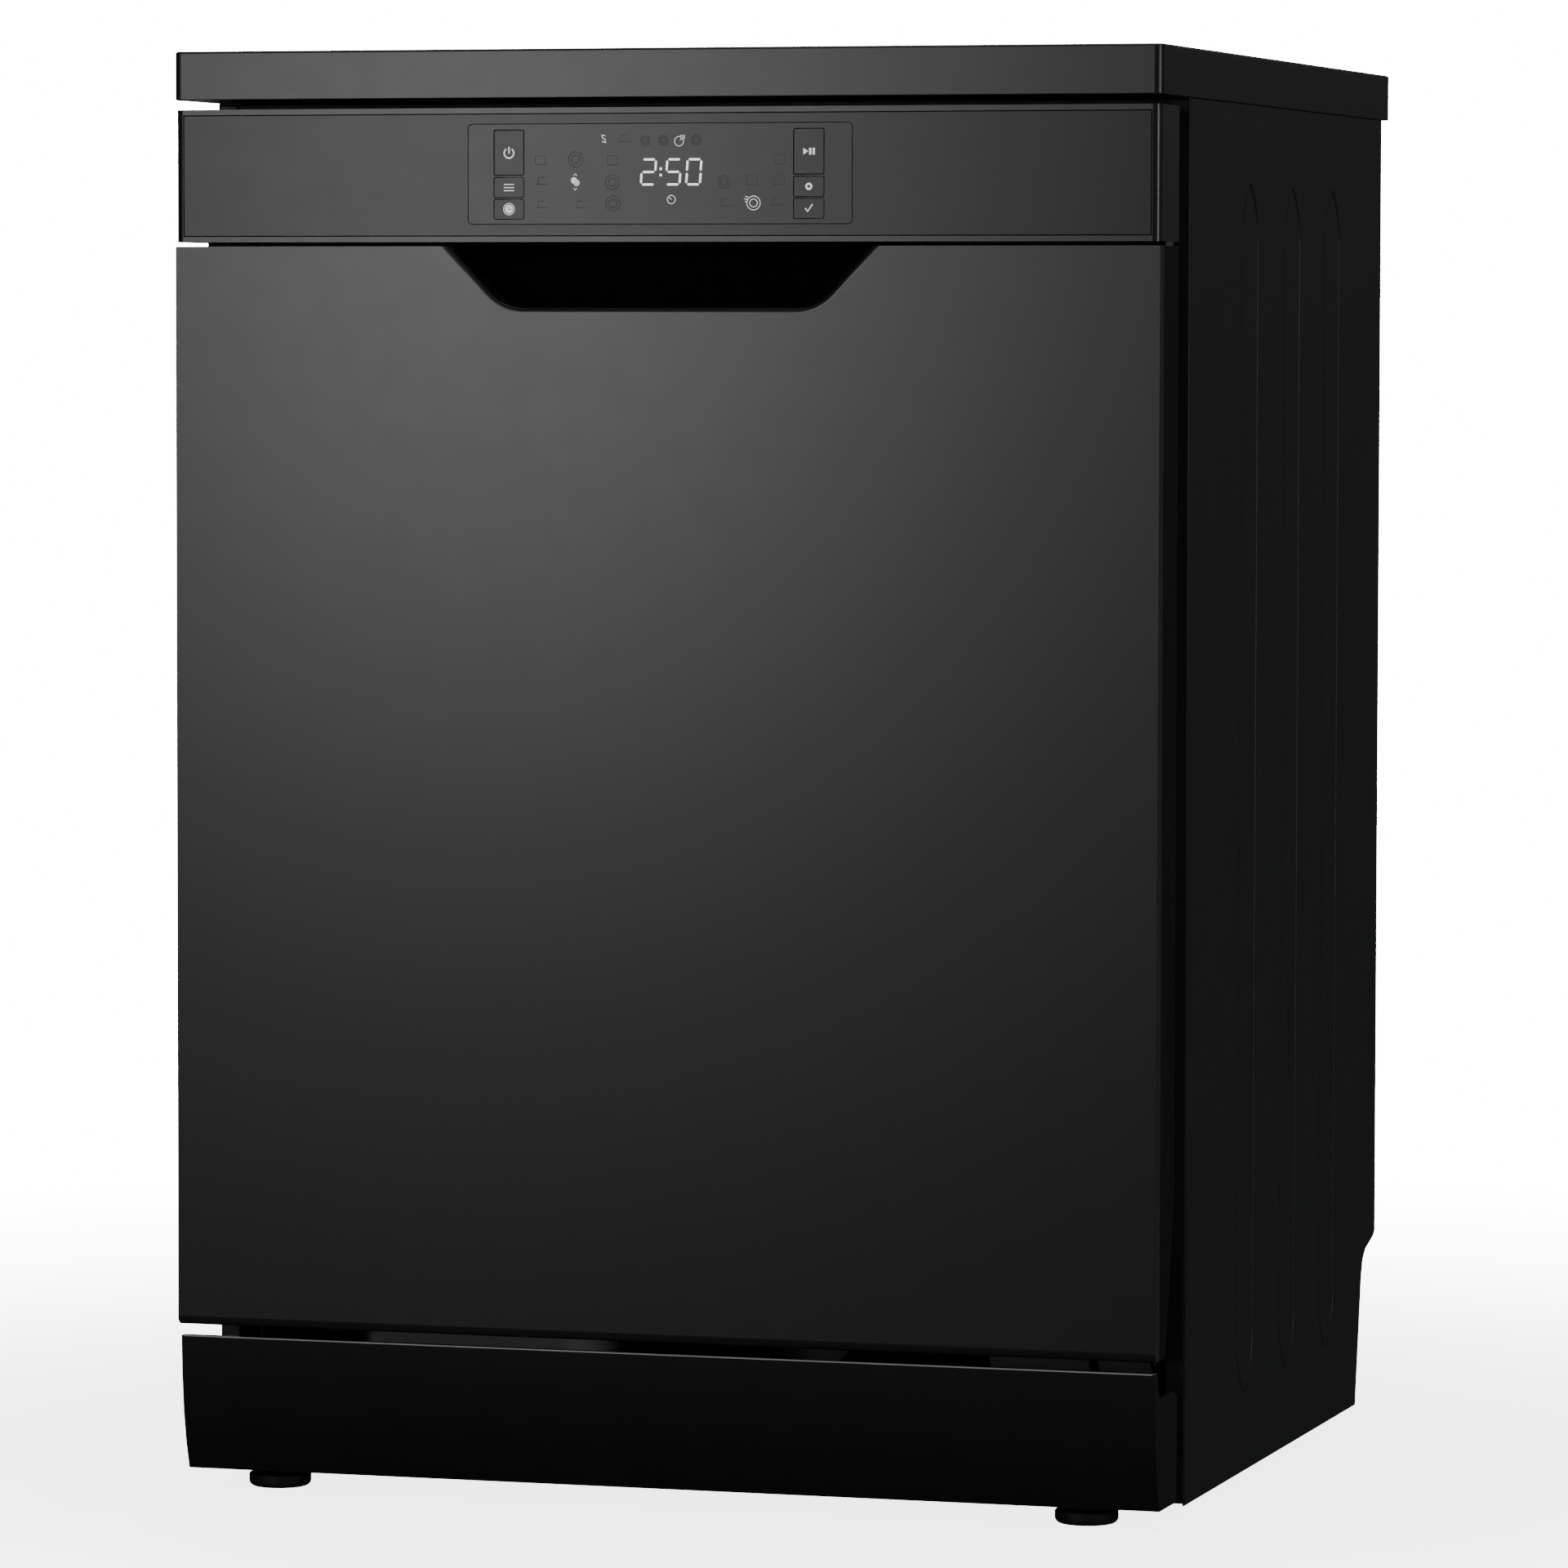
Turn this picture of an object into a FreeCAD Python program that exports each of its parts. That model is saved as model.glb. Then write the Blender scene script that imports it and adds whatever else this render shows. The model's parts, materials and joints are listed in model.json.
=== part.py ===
"""Free-standing 60 cm dishwasher as an assembly of separate parts.

Frame: millimetres, +X to the user's right, +Y to the rear, +Z up. The origin is on the
floor, under the middle of the worktop. Every sub-part is written to parts/NODE.step.
"""
import FreeCAD, Part
import math
import os

V = FreeCAD.Vector
X_AXIS = V(1, 0, 0)
Y_AXIS = V(0, 1, 0)
Z_AXIS = V(0, 0, 1)

# ---- overall size ------------------------------------------------------------------
WIDTH = 598.0
DEPTH = 600.0
HEIGHT = 850.0
FRONT = -DEPTH / 2
DOOR_FRONT = FRONT + 0.5        # door skin, console and glass stand just behind the worktop edge
SHEET = 1.0

# ---- cabinet -----------------------------------------------------------------------
WORKTOP_T = 28.6
WORKTOP_BOTTOM = HEIGHT - WORKTOP_T
SIDE_X = 298.0                  # outer face of side panels, door and console
SIDE_FRONT = -228.0
SIDE_REAR = 281.0
SIDE_BOTTOM = 6.5
NOTCH_TOP = 112.0               # hose notch at the lower rear of the side panels
RIB_CENTRES = (-79.0, 31.5, 140.0)
RIB_WIDTH = 43.0
RIB_POINT = 37.0                # length of the pointed rib end
RIB_BOTTOM = 53.0
RIB_TOP = 774.0
RIB_DEPTH = 1.5
REAR_SCREW_X = 289.0
REAR_SCREW_ZS = (135.0, 460.0, 790.0)
KICK_FRONT = -296.5
KICK_X = 297.0
KICK_BOTTOM = 11.4
KICK_TOP = 92.2
KICK_BOW = ((92.2, 0.0), (70.0, 0.9), (46.5, 3.4), (28.0, 7.2), (11.4, 12.4))   # Z, set-back
TRAY_FLOOR = 14.0
TRAY_WALL = 3.0
TRAY_TOP = 60.0
TRAY_FRONT = -282.0
TRAY_REAR = 222.0
TRAY_X = 285.0
FOOT_X = 248.0
FOOT_FRONT_Y = -261.0
FOOT_REAR_Y = 195.0
FOOT_R = 18.5
FOOT_H = 8.0
FOOT_EDGE = 3.5                 # rounding under the foot pad
STEM_R = 5.0
STEM_TOP = 75.0
RUN_FIT = 0.06                  # radial clearance of a shaft in its bore
INLET = (-180.0, 66.0)          # X and Z of the water inlet
INLET_R = 13.2
INLET_NECK_R = 12.0
INLET_END = 247.0
DRAIN = (-105.0, 70.0)          # X and Z of the drain outlet
DRAIN_R = 9.5
DRAIN_NECK_R = 8.9
DRAIN_END = 253.0
CORD = (190.0, 66.0)            # X and Z of the power cord gland
CORD_R = 9.0
PORT_GAP = 0.05
SPOUT_START = TRAY_REAR + 1.0   # hose ends of inlet and drain begin here

# ---- door --------------------------------------------------------------------------
HINGE_Y = -264.0
HINGE_Z = 131.0
PIN_R = 5.0
BRACKET_X = (276.0, 279.0)      # thickness of the fixed hinge plate
ARM_X = (269.0, 273.0)          # thickness of the arm that carries the door
SPRING_X = 271.5
DOOR_CORNER_R = 5.0             # upright front corners of door panel and console
DOOR_FOOT_R = 6.0               # bottom front edge of the door panel
DOOR_BOTTOM = 98.7
DOOR_TOP = 735.8
DOOR_BACK = -256.0              # rear edge of the outer panel's side returns
CONSOLE_BOTTOM = 738.2
CONSOLE_TOP = 815.8
FASCIA_X = 292.3
FASCIA_INSET = 3.8
FASCIA_T = 2.0
FASCIA_GAP = 0.6                # groove all round the fascia plate
LINER_FACE = -245.0
LINER_X = 292.0
LINER_RAISED_X = 264.0
LINER_RAISED_FACE = -237.0
LINER_BOTTOM = 109.0
LINER_TOP = 796.0
DISPLAY_X = 116.0
DISPLAY_BOTTOM = 748.6
DISPLAY_TOP = 806.2
BUTTON_W = 18.0
BUTTON_LEFT = -91.2             # centre of the left column
BUTTON_RIGHT = 90.2             # centre of the right column
BUTTON_ROWS = {"tall": (776.9, 802.9), "middle": (764.0, 775.5), "low": (751.5, 762.8)}
BUTTON_GAP = 0.35
BUTTON_FACE = DOOR_FRONT + 0.1
BUTTON_CAP_T = 3.5
STEM_END = -291.0
BOARD_FRONT = -288.0
RECESS_TOP_X = 126.0            # half widths of the finger recess
RECESS_KNEE_X = 99.5
RECESS_FLAT_X = 78.0
RECESS_KNEE_DROP = 28.0
RECESS_DROP = 34.0
RECESS_BACK = -262.0
DISPENSER = (-105.0, 105.0, 430.0, 560.0)   # X and Z spans
LID = (-90.0, -8.0, 448.0, 542.0)
CAP_X = 55.0
CAP_Z = 495.0
CAP_R = 24.0

# ---- tub ---------------------------------------------------------------------------
TUB_X = 284.0
TUB_FRONT = -235.0
TUB_BACK = 262.0
TUB_TOP = 800.0
TUB_LEDGE = 158.0               # track for the lower rack wheels
TUB_PAN = 150.0
PAN_X = 235.0
PAN_FRONT = -215.0
PAN_BACK = 245.0
MOUTH_X = 281.0
MOUTH_TOP = 785.0
FRAME_T = 3.0
ARM_Y = 13.0                    # spray arms turn about X = 0, Y = ARM_Y
ARM_BORE = 9.0
LOWER_ARM_Z = 170.0
UPPER_ARM_Z = 474.0
SUMP_Y = -15.0
SUMP_R = 95.0
FILTER_Y = -62.0
FILTER_R = 30.0
SALT_X = -190.0
SALT_Y = -20.0
SALT_R = 30.0
BREAKER = (-100.0, 120.0, 250.0, 560.0)     # Y and Z spans of the water chamber

# ---- racks -------------------------------------------------------------------------
WIRE_R = 2.2
RACK_FRONT = -222.0
RACK_BACK = 242.0
LOWER_RACK_X = 250.0
LOWER_FLOOR = 204.0
LOWER_RIM = 322.0
UPPER_RACK_X = 258.0
UPPER_FLOOR = 514.0
UPPER_RIM = 634.0
WHEEL_R = 15.0
WHEEL_Z = TUB_LEDGE + WHEEL_R + 0.3
WHEEL_X = 262.0                 # inner face of a lower rack wheel
WHEEL_W = 8.0
WHEEL_YS = {"wheels_front": -120.0, "wheels_rear": 170.0}
AXLE_R = 3.0
TINE_AXIS_X = 40.0
TINE_AXIS_Z = LOWER_FLOOR + 5 * WIRE_R + 1.5
TINE_H = 92.0
SHELF_AXIS_X = -246.0
SHELF_AXIS_Z = 652.0
SHELF_REACH = 105.0
SHELF_HOOK_YS = (-150, 150)
RAIL_Z = (566.0, 594.0)         # bottom and top of the upper rack rails
BASKET = (88.0, 234.0, 0.0, 224.0, LOWER_FLOOR + WIRE_R, 318.0)


# ---- helpers -----------------------------------------------------------------------
def box(x0, x1, y0, y1, z0, z1):
    """Box from its two corners."""
    return Part.makeBox(x1 - x0, y1 - y0, z1 - z0, V(x0, y0, z0))


def rod(radius, start, end):
    """Round bar between two points."""
    a = V(*start)
    b = V(*end)
    return Part.makeCylinder(radius, (b - a).Length, a, b - a)


def ring(outer, inner, start, end):
    """Round tube between two points."""
    return rod(outer, start, end).cut(rod(inner, start, end))


def prism_x(points, x0, x1):
    """Solid with a Y-Z outline, from x0 to x1."""
    loop = Part.makePolygon([V(x0, y, z) for y, z in points + points[:1]])
    return Part.Face(loop).extrude(V(x1 - x0, 0, 0))


def prism_y(points, y0, y1):
    """Solid with an X-Z outline, from y0 to y1."""
    loop = Part.makePolygon([V(x, y0, z) for x, z in points + points[:1]])
    return Part.Face(loop).extrude(V(0, y1 - y0, 0))


def fuse(shapes):
    """One solid from several that overlap or touch."""
    whole = shapes[0]
    for shape in shapes[1:]:
        whole = whole.fuse(shape)
    return whole.removeSplitter()


def mirrored(shape):
    """The same shape on the other side of the middle plane."""
    return shape.mirror(V(0, 0, 0), X_AXIS)


def pair(shape):
    """A shape and its mirror image, as separate solids."""
    return [shape, mirrored(shape)]


def along(direction, edge):
    """True if a straight edge runs along a direction."""
    if not isinstance(edge.Curve, Part.Line):
        return False
    return abs(edge.tangentAt(edge.FirstParameter).dot(direction)) > 0.999


def round_edges(shape, radius, direction, test):
    """Round the straight edges along a direction whose middle passes a test."""
    edges = [e for e in shape.Edges if along(direction, e) and test(e.CenterOfMass)]
    return shape.makeFillet(radius, edges)


def export(node, shapes):
    """Write one node; its solids stay separate."""
    solids = []
    for shape in shapes if isinstance(shapes, list) else [shapes]:
        solids += shape.Solids
    for solid in solids:
        if not solid.isValid() or solid.Volume < 1:
            raise ValueError(node + " holds a bad solid")
    whole = solids[0] if len(solids) == 1 else Part.makeCompound(solids)
    whole.exportStep(os.path.join("parts", node + ".step"))
    print(node, len(solids), "solid(s)", round(sum(s.Volume for s in solids)), "mm3")


# ---- cabinet -----------------------------------------------------------------------
def make_worktop():
    top = box(-WIDTH / 2, WIDTH / 2, FRONT, -FRONT, WORKTOP_BOTTOM, HEIGHT)
    top = round_edges(top, 5.0, Z_AXIS, lambda c: True)
    rim = [e for e in top.Edges if e.BoundBox.ZMin > HEIGHT - 0.01]
    export("worktop", top.makeFillet(1.6, rim))


def rib_outline(centre, grow):
    """Closed wire of a pressed rib, pointed at both ends, in the plane X = 0."""
    half = RIB_WIDTH / 2 + grow
    point = RIB_POINT + grow
    radius = (half ** 2 + point ** 2) / (2 * half)
    turn = math.asin(point / radius) / 2
    side = radius * (1 - math.cos(turn))
    rise = radius * math.sin(turn)
    low = RIB_BOTTOM + RIB_POINT
    high = RIB_TOP - RIB_POINT

    def arc(sign, base, up):
        a = V(0, centre - sign * half, base)
        m = V(0, centre - sign * (half - side), base + up * rise)
        b = V(0, centre, base + up * point)
        return Part.Arc(a, m, b).toShape()

    edges = [arc(1, high, 1), arc(-1, high, 1), arc(1, low, -1), arc(-1, low, -1)]
    for sign in (1, -1):
        y = centre - sign * half
        edges.append(Part.LineSegment(V(0, y, low), V(0, y, high)).toShape())
    return Part.Wire(Part.__sortEdges__(edges))


def rib_block(centre, grow, x0, x1):
    face = Part.Face(rib_outline(centre, grow))
    face.translate(V(x0, 0, 0))
    return face.extrude(V(x1 - x0, 0, 0))


def make_side_panels():
    outline = [(SIDE_FRONT, SIDE_BOTTOM), (226, SIDE_BOTTOM), (242, 88), (246, 97),
               (254, 103), (SIDE_REAR - 4, NOTCH_TOP - 3), (SIDE_REAR, NOTCH_TOP),
               (SIDE_REAR, WORKTOP_BOTTOM), (SIDE_FRONT, WORKTOP_BOTTOM)]
    inner = SIDE_X - SHEET
    panel = prism_x(outline, inner, SIDE_X)
    for centre in RIB_CENTRES:
        panel = panel.fuse(rib_block(centre, SHEET, inner - RIB_DEPTH, inner + 0.2))
    for centre in RIB_CENTRES:
        panel = panel.cut(rib_block(centre, 0.0, SIDE_X - RIB_DEPTH, SIDE_X + 1))
    front = box(SIDE_X - 12, SIDE_X, SIDE_FRONT, SIDE_FRONT + SHEET, SIDE_BOTTOM, WORKTOP_BOTTOM)
    rear = box(SIDE_X - 18, SIDE_X, SIDE_REAR - SHEET, SIDE_REAR, NOTCH_TOP, WORKTOP_BOTTOM)
    top = box(SIDE_X - 14, SIDE_X, SIDE_FRONT, SIDE_REAR, WORKTOP_BOTTOM - SHEET, WORKTOP_BOTTOM)
    panel = fuse([panel, front, rear, top])
    for z in REAR_SCREW_ZS:
        panel = panel.cut(rod(2.0, (REAR_SCREW_X, 270, z), (REAR_SCREW_X, 290, z)))
    export("side_panel_right", panel)
    export("side_panel_left", mirrored(panel))


def make_rear_panel():
    y = SIDE_REAR - 2 * SHEET
    panel = box(-296.5, 296.5, y, y + SHEET, NOTCH_TOP, WORKTOP_BOTTOM - 3)
    for x0, x1 in ((-240, -20), (20, 240)):
        for z0, z1 in ((180, 460), (500, 780)):
            swage = box(x0, x1, y - 3, y + 0.2, z0, z1)
            hollow = box(x0 + SHEET, x1 - SHEET, y - 3 + SHEET, y + 2, z0 + SHEET, z1 - SHEET)
            panel = panel.fuse(swage).cut(hollow)
    for x in (-REAR_SCREW_X, REAR_SCREW_X):
        for z in REAR_SCREW_ZS:
            panel = panel.cut(rod(2.0, (x, 270, z), (x, 290, z)))
    export("rear_panel", panel.removeSplitter())


def make_rear_screws():
    screws = []
    for x in (-REAR_SCREW_X, REAR_SCREW_X):
        for z in REAR_SCREW_ZS:
            head = rod(4.0, (x, SIDE_REAR, z), (x, SIDE_REAR + 2.2, z))
            shank = rod(1.9, (x, SIDE_REAR - 9, z), (x, SIDE_REAR + 0.5, z))
            slot_a = box(x - 2.4, x + 2.4, SIDE_REAR + 1, SIDE_REAR + 3, z - 0.4, z + 0.4)
            slot_b = box(x - 0.4, x + 0.4, SIDE_REAR + 1, SIDE_REAR + 3, z - 2.4, z + 2.4)
            screws.append(head.fuse(shank).cut(slot_a).cut(slot_b).removeSplitter())
    export("rear_screws", screws)


def crossbar(y0, y1):
    """Folded channel across the top, open downwards."""
    top = WORKTOP_BOTTOM - SHEET
    bar = box(-296.5, 296.5, y0, y1, top - 13, top)
    return bar.cut(box(-300, 300, y0 + 1.5, y1 - 1.5, top - 20, top - 1.5))


def make_crossbars():
    export("top_crossbars", [crossbar(-226, -186), crossbar(228, 272)])


def foot_places():
    return {"foot_front_left": (-FOOT_X, FOOT_FRONT_Y), "foot_front_right": (FOOT_X, FOOT_FRONT_Y)}


def foot(x, y):
    """Levelling foot: a round pad on a threaded stem."""
    pad = rod(FOOT_R, (x, y, 0), (x, y, FOOT_H))
    pad = pad.makeFillet(FOOT_EDGE, [e for e in pad.Edges if e.BoundBox.ZMax < 0.01])
    pad = pad.makeFillet(1.5, [e for e in pad.Edges if e.BoundBox.ZLength < 0.01])
    return pad.fuse(rod(STEM_R, (x, y, FOOT_H - 1), (x, y, STEM_TOP))).removeSplitter()


def make_feet():
    for name, (x, y) in foot_places().items():
        export(name, foot(x, y))
    export("feet_rear", pair(foot(FOOT_X, FOOT_REAR_Y)))


def make_base_tray():
    """Moulded tray that carries the pumps, with threaded sleeves for the feet."""
    w = TRAY_WALL
    tray = box(-TRAY_X, TRAY_X, TRAY_FRONT, TRAY_REAR, TRAY_FLOOR, TRAY_TOP)
    tray = tray.cut(box(-TRAY_X + w, TRAY_X - w, TRAY_FRONT + w, TRAY_REAR - w,
                        TRAY_FLOOR + w, 200))
    rear = box(-TRAY_X, TRAY_X, TRAY_REAR - w, TRAY_REAR, TRAY_FLOOR, 98)
    tray = tray.fuse(rear)
    corners = [(x, y) for x in (-FOOT_X, FOOT_X) for y in (FOOT_FRONT_Y, FOOT_REAR_Y)]
    for x, y in corners:
        tray = tray.fuse(rod(11, (x, y, TRAY_FLOOR), (x, y, 50)))
    for x, y in corners:
        tray = tray.cut(rod(STEM_R + RUN_FIT, (x, y, 0), (x, y, 60)))
    for (x, z), r in ((INLET, INLET_NECK_R), (DRAIN, DRAIN_NECK_R), (CORD, CORD_R)):
        tray = tray.cut(rod(r + PORT_GAP, (x, TRAY_REAR - 10, z), (x, TRAY_REAR + 10, z)))
    export("base_tray", tray.removeSplitter())


def make_kickplate():
    """Thin plinth cover, bowed back towards the floor, with cheeks at both ends."""
    t = 1.2
    outer = [(KICK_FRONT + bow, z) for z, bow in KICK_BOW]
    inner = [(y + t, z) for y, z in reversed(outer)]
    skin = prism_x(outer + inner, -KICK_X, KICK_X)
    lip = box(-KICK_X, KICK_X, KICK_FRONT, KICK_FRONT + 5.5, KICK_TOP - t, KICK_TOP)
    cheek = prism_x(outer + [(-243.5, KICK_BOTTOM), (-243.5, 73), (-252, 77), (-285, 77),
                             (-291, KICK_TOP)], KICK_X - t, KICK_X)
    plate = fuse([skin, lip, cheek, mirrored(cheek)])
    clip = [(-292.6, 50), (-287.2, 24), (TRAY_FRONT, 24), (TRAY_FRONT, 50)]
    for x in (-150, 150):
        plate = plate.fuse(prism_x(clip, x - 12, x + 12))
    export("kickplate", plate.removeSplitter())


# ---- tub ---------------------------------------------------------------------------
def rounded_tube(x, z0, z1, radius, y0, y1):
    """Block with its two upper long edges rounded."""
    block = box(-x, x, y0, y1, z0, z1)
    return round_edges(block, radius, Y_AXIS, lambda c: c.z > z1 - 0.1)


def make_tub():
    outer = rounded_tube(TUB_X, TUB_LEDGE, TUB_TOP, 22, TUB_FRONT, TUB_BACK)
    inner = rounded_tube(TUB_X - SHEET, TUB_LEDGE - 5, TUB_TOP - SHEET, 21,
                         TUB_FRONT - 5, TUB_BACK + 5)
    export("tub_wrapper", outer.cut(inner))
    rear = rounded_tube(TUB_X, TUB_PAN - SHEET - 1, TUB_TOP, 22, TUB_BACK, TUB_BACK + SHEET)
    export("tub_rear_wall", rear)
    t = 1.2
    top = box(-TUB_X, TUB_X, TUB_FRONT, TUB_BACK, TUB_PAN - SHEET - 1, TUB_LEDGE)
    top = top.cut(box(-PAN_X, PAN_X, PAN_FRONT, PAN_BACK, TUB_PAN, TUB_LEDGE + 1))
    under = box(-TUB_X + t, TUB_X - t, TUB_FRONT + t, TUB_BACK - t, 100, TUB_LEDGE - t)
    rim = box(-PAN_X - t, PAN_X + t, PAN_FRONT - t, PAN_BACK + t, TUB_PAN - t, TUB_LEDGE)
    floor = top.cut(under.cut(rim))
    floor = floor.cut(box(-300, 300, TUB_FRONT - 1, TUB_BACK + 1, 100, TUB_PAN - t))
    floor = floor.cut(rod(SUMP_R, (0, SUMP_Y, 100), (0, SUMP_Y, 200)))
    floor = floor.cut(rod(SALT_R + 3, (SALT_X, SALT_Y, 100), (SALT_X, SALT_Y, 200)))
    export("tub_floor", floor.removeSplitter())
    outer_x = 290.0
    frame = box(-outer_x, outer_x, TUB_FRONT - FRAME_T, TUB_FRONT, TUB_LEDGE, 812)
    frame = frame.cut(box(-MOUTH_X, MOUTH_X, -300, 0, 100, MOUTH_TOP))
    export("tub_front_frame", frame)


def make_gasket():
    """Bulb seal along the top and both sides of the mouth."""
    y0 = LINER_FACE + 0.4
    y1 = TUB_FRONT - FRAME_T
    x0, x1, z0, z1 = 281.5, 289.5, 787.0, 794.5
    seal = box(-x1, x1, y0, y1, TUB_LEDGE + 6, z1)
    seal = round_edges(seal, 8, Y_AXIS, lambda c: c.z > z1 - 0.1)
    hollow = box(-x0, x0, y0 - 1, y1 + 1, 100, z0)
    export("door_gasket", seal.cut(hollow))


def make_insulation():
    x0, x1 = TUB_X + 0.5, 291.0
    right = box(x0, x1, -220, 255, 170, 800)
    left = mirrored(right)
    y0, y1, z0, z1 = BREAKER
    left = left.cut(box(-300, -x0 + 1, y0 - 2, y1 + 2, z0 - 2, z1 + 2))
    over = box(-275, 275, -180, 225, TUB_TOP + 0.5, TUB_TOP + 6)
    export("sound_insulation", [right, left, over])


def make_air_breaker():
    """Flat moulded water chamber beside the left tub wall."""
    y0, y1, z0, z1 = BREAKER
    outer = SIDE_X - SHEET - RIB_DEPTH - 0.3
    block = box(-outer, -285.2, y0, y1, z0, z1)
    block = round_edges(block, 12, X_AXIS, lambda c: True)
    for step in range(5):
        z = z0 + 50 + step * 50
        block = block.cut(box(-297, -outer + 1.5, y0 + 25, y1 - 25, z, z + 22))
    export("air_breaker", block)


def make_sump():
    """Sump cup under the tub floor, with the post that carries the lower spray arm."""
    top = TUB_PAN - 1.2
    bowl = ring(SUMP_R + 10, SUMP_R - 6, (0, SUMP_Y, 92), (0, SUMP_Y, top))
    base = rod(SUMP_R + 10, (0, SUMP_Y, 88), (0, SUMP_Y, 92))
    post = rod(12, (0, ARM_Y, 90), (0, ARM_Y, 164))
    spigot = rod(ARM_BORE - RUN_FIT, (0, ARM_Y, 160), (0, ARM_Y, 194))
    nut = rod(13, (0, ARM_Y, 190.4), (0, ARM_Y, 195))
    outlet = rod(16, (60, SUMP_Y, 110), (132, SUMP_Y, 110))
    outlet = outlet.cut(rod(SUMP_R - 6, (0, SUMP_Y, 92), (0, SUMP_Y, 200)))
    export("sump", fuse([bowl, base, post, spigot, nut, outlet]))


def make_filters():
    """Fine strainer plate and the twist-out cup in the middle of it."""
    plate = rod(SUMP_R - 1, (0, SUMP_Y, TUB_PAN - 1.2), (0, SUMP_Y, TUB_PAN + 0.3))
    plate = plate.cut(rod(FILTER_R + 0.5, (0, FILTER_Y, 140), (0, FILTER_Y, 160)))
    plate = plate.cut(rod(12.3, (0, ARM_Y, 140), (0, ARM_Y, 160)))
    for ring_r, count in ((60, 24), (72, 30), (83, 36)):
        for k in range(count):
            a = 2 * math.pi * k / count
            x, y = ring_r * math.cos(a), SUMP_Y + ring_r * math.sin(a)
            if math.hypot(x, y - FILTER_Y) > FILTER_R + 6 and math.hypot(x, y - ARM_Y) > 18:
                plate = plate.cut(rod(1.6, (x, y, 140), (x, y, 160)))
    export("filter_plate", plate)
    cup = rod(FILTER_R, (0, FILTER_Y, 100), (0, FILTER_Y, 154))
    cup = cup.cut(rod(FILTER_R - 2.5, (0, FILTER_Y, 103), (0, FILTER_Y, 160)))
    handle = box(-FILTER_R + 1, FILTER_R - 1, FILTER_Y - 2, FILTER_Y + 2, 146, 158)
    export("filter_cup", cup.fuse(handle).removeSplitter())


def make_wet_side():
    """Pumps, softener and the fittings in the rear wall of the tray."""
    pump = rod(42, (134, SUMP_Y, 75), (196, SUMP_Y, 75))
    motor = rod(34, (196, SUMP_Y, 75), (262, SUMP_Y, 75))
    inlet = ring(22, 16.2, (109, SUMP_Y, 110), (134.5, SUMP_Y, 110))
    feet = box(150, 250, SUMP_Y - 20, SUMP_Y + 20, TRAY_FLOOR + TRAY_WALL, 50)
    export("circulation_pump", fuse([pump, motor, inlet, feet]))
    drain = rod(26, (-30, 125, 55), (-30, 190, 55))
    neck = rod(11, (-30, 110, 70), (-30, 128, 70))
    foot_block = box(-45, -15, 130, 185, TRAY_FLOOR + TRAY_WALL, 40)
    export("drain_pump", fuse([drain, neck, foot_block]))
    tank = box(-258, -112, -110, 70, TRAY_FLOOR + TRAY_WALL, 132)
    tank = round_edges(tank, 14, Z_AXIS, lambda c: True)
    neck = rod(SALT_R + 8, (SALT_X, SALT_Y, 130), (SALT_X, SALT_Y, TUB_PAN - 1.2))
    tank = tank.fuse(neck)
    tank = tank.cut(rod(SALT_R - 6, (SALT_X, SALT_Y, 26), (SALT_X, SALT_Y, 170)))
    tank = tank.cut(box(-248, -122, -100, 60, 26, 124))
    export("water_softener", tank.removeSplitter())
    cap = rod(SALT_R, (SALT_X, SALT_Y, TUB_PAN - 0.9), (SALT_X, SALT_Y, TUB_PAN + 7))
    plug = rod(SALT_R - 6 - RUN_FIT, (SALT_X, SALT_Y, 134), (SALT_X, SALT_Y, TUB_PAN))
    grip = box(SALT_X - 22, SALT_X + 22, SALT_Y - 3, SALT_Y + 3, TUB_PAN + 6, TUB_PAN + 14)
    export("salt_cap", fuse([cap, plug, grip]))


def make_fittings():
    """Valve, spigot and gland that pass through the rear wall of the tray."""
    inside = TRAY_REAR - TRAY_WALL
    x, z = INLET
    body = box(x - 22, x + 22, 168, 210, z - 24, z + 24)
    neck = rod(INLET_NECK_R, (x, 205, z), (x, SPOUT_START, z))
    collar = rod(16, (x, 209, z), (x, inside, z))
    stub = rod(INLET_R, (x, SPOUT_START, z), (x, INLET_END, z))
    solenoids = rod(13, (x, 188, z + 20), (x, 188, z + 52))
    valve = fuse([body, neck, collar, stub, solenoids])
    export("inlet_valve", valve.cut(rod(8, (x, 225, z), (x, INLET_END + 4, z))))
    x, z = DRAIN
    spigot = rod(DRAIN_R, (x, SPOUT_START, z), (x, DRAIN_END, z))
    neck = rod(DRAIN_NECK_R, (x, 195, z), (x, SPOUT_START, z))
    flange = rod(16, (x, 213, z), (x, inside, z))
    drain = fuse([spigot, neck, flange]).cut(rod(7.0, (x, 190, z), (x, DRAIN_END + 4, z)))
    export("drain_spigot", drain)
    x, z = CORD
    case = box(x - 35, x + 35, 150, 208, z - 22, z + 26)
    gland = rod(CORD_R, (x, 200, z), (x, 240, z))
    collar = rod(13, (x, 207, z), (x, inside, z))
    nut = rod(14, (x, TRAY_REAR, z), (x, TRAY_REAR + 6, z))
    terminal = fuse([case, gland, collar, nut]).cut(rod(4.5, (x, 195, z), (x, 250, z)))
    export("terminal_box", terminal)


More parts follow.
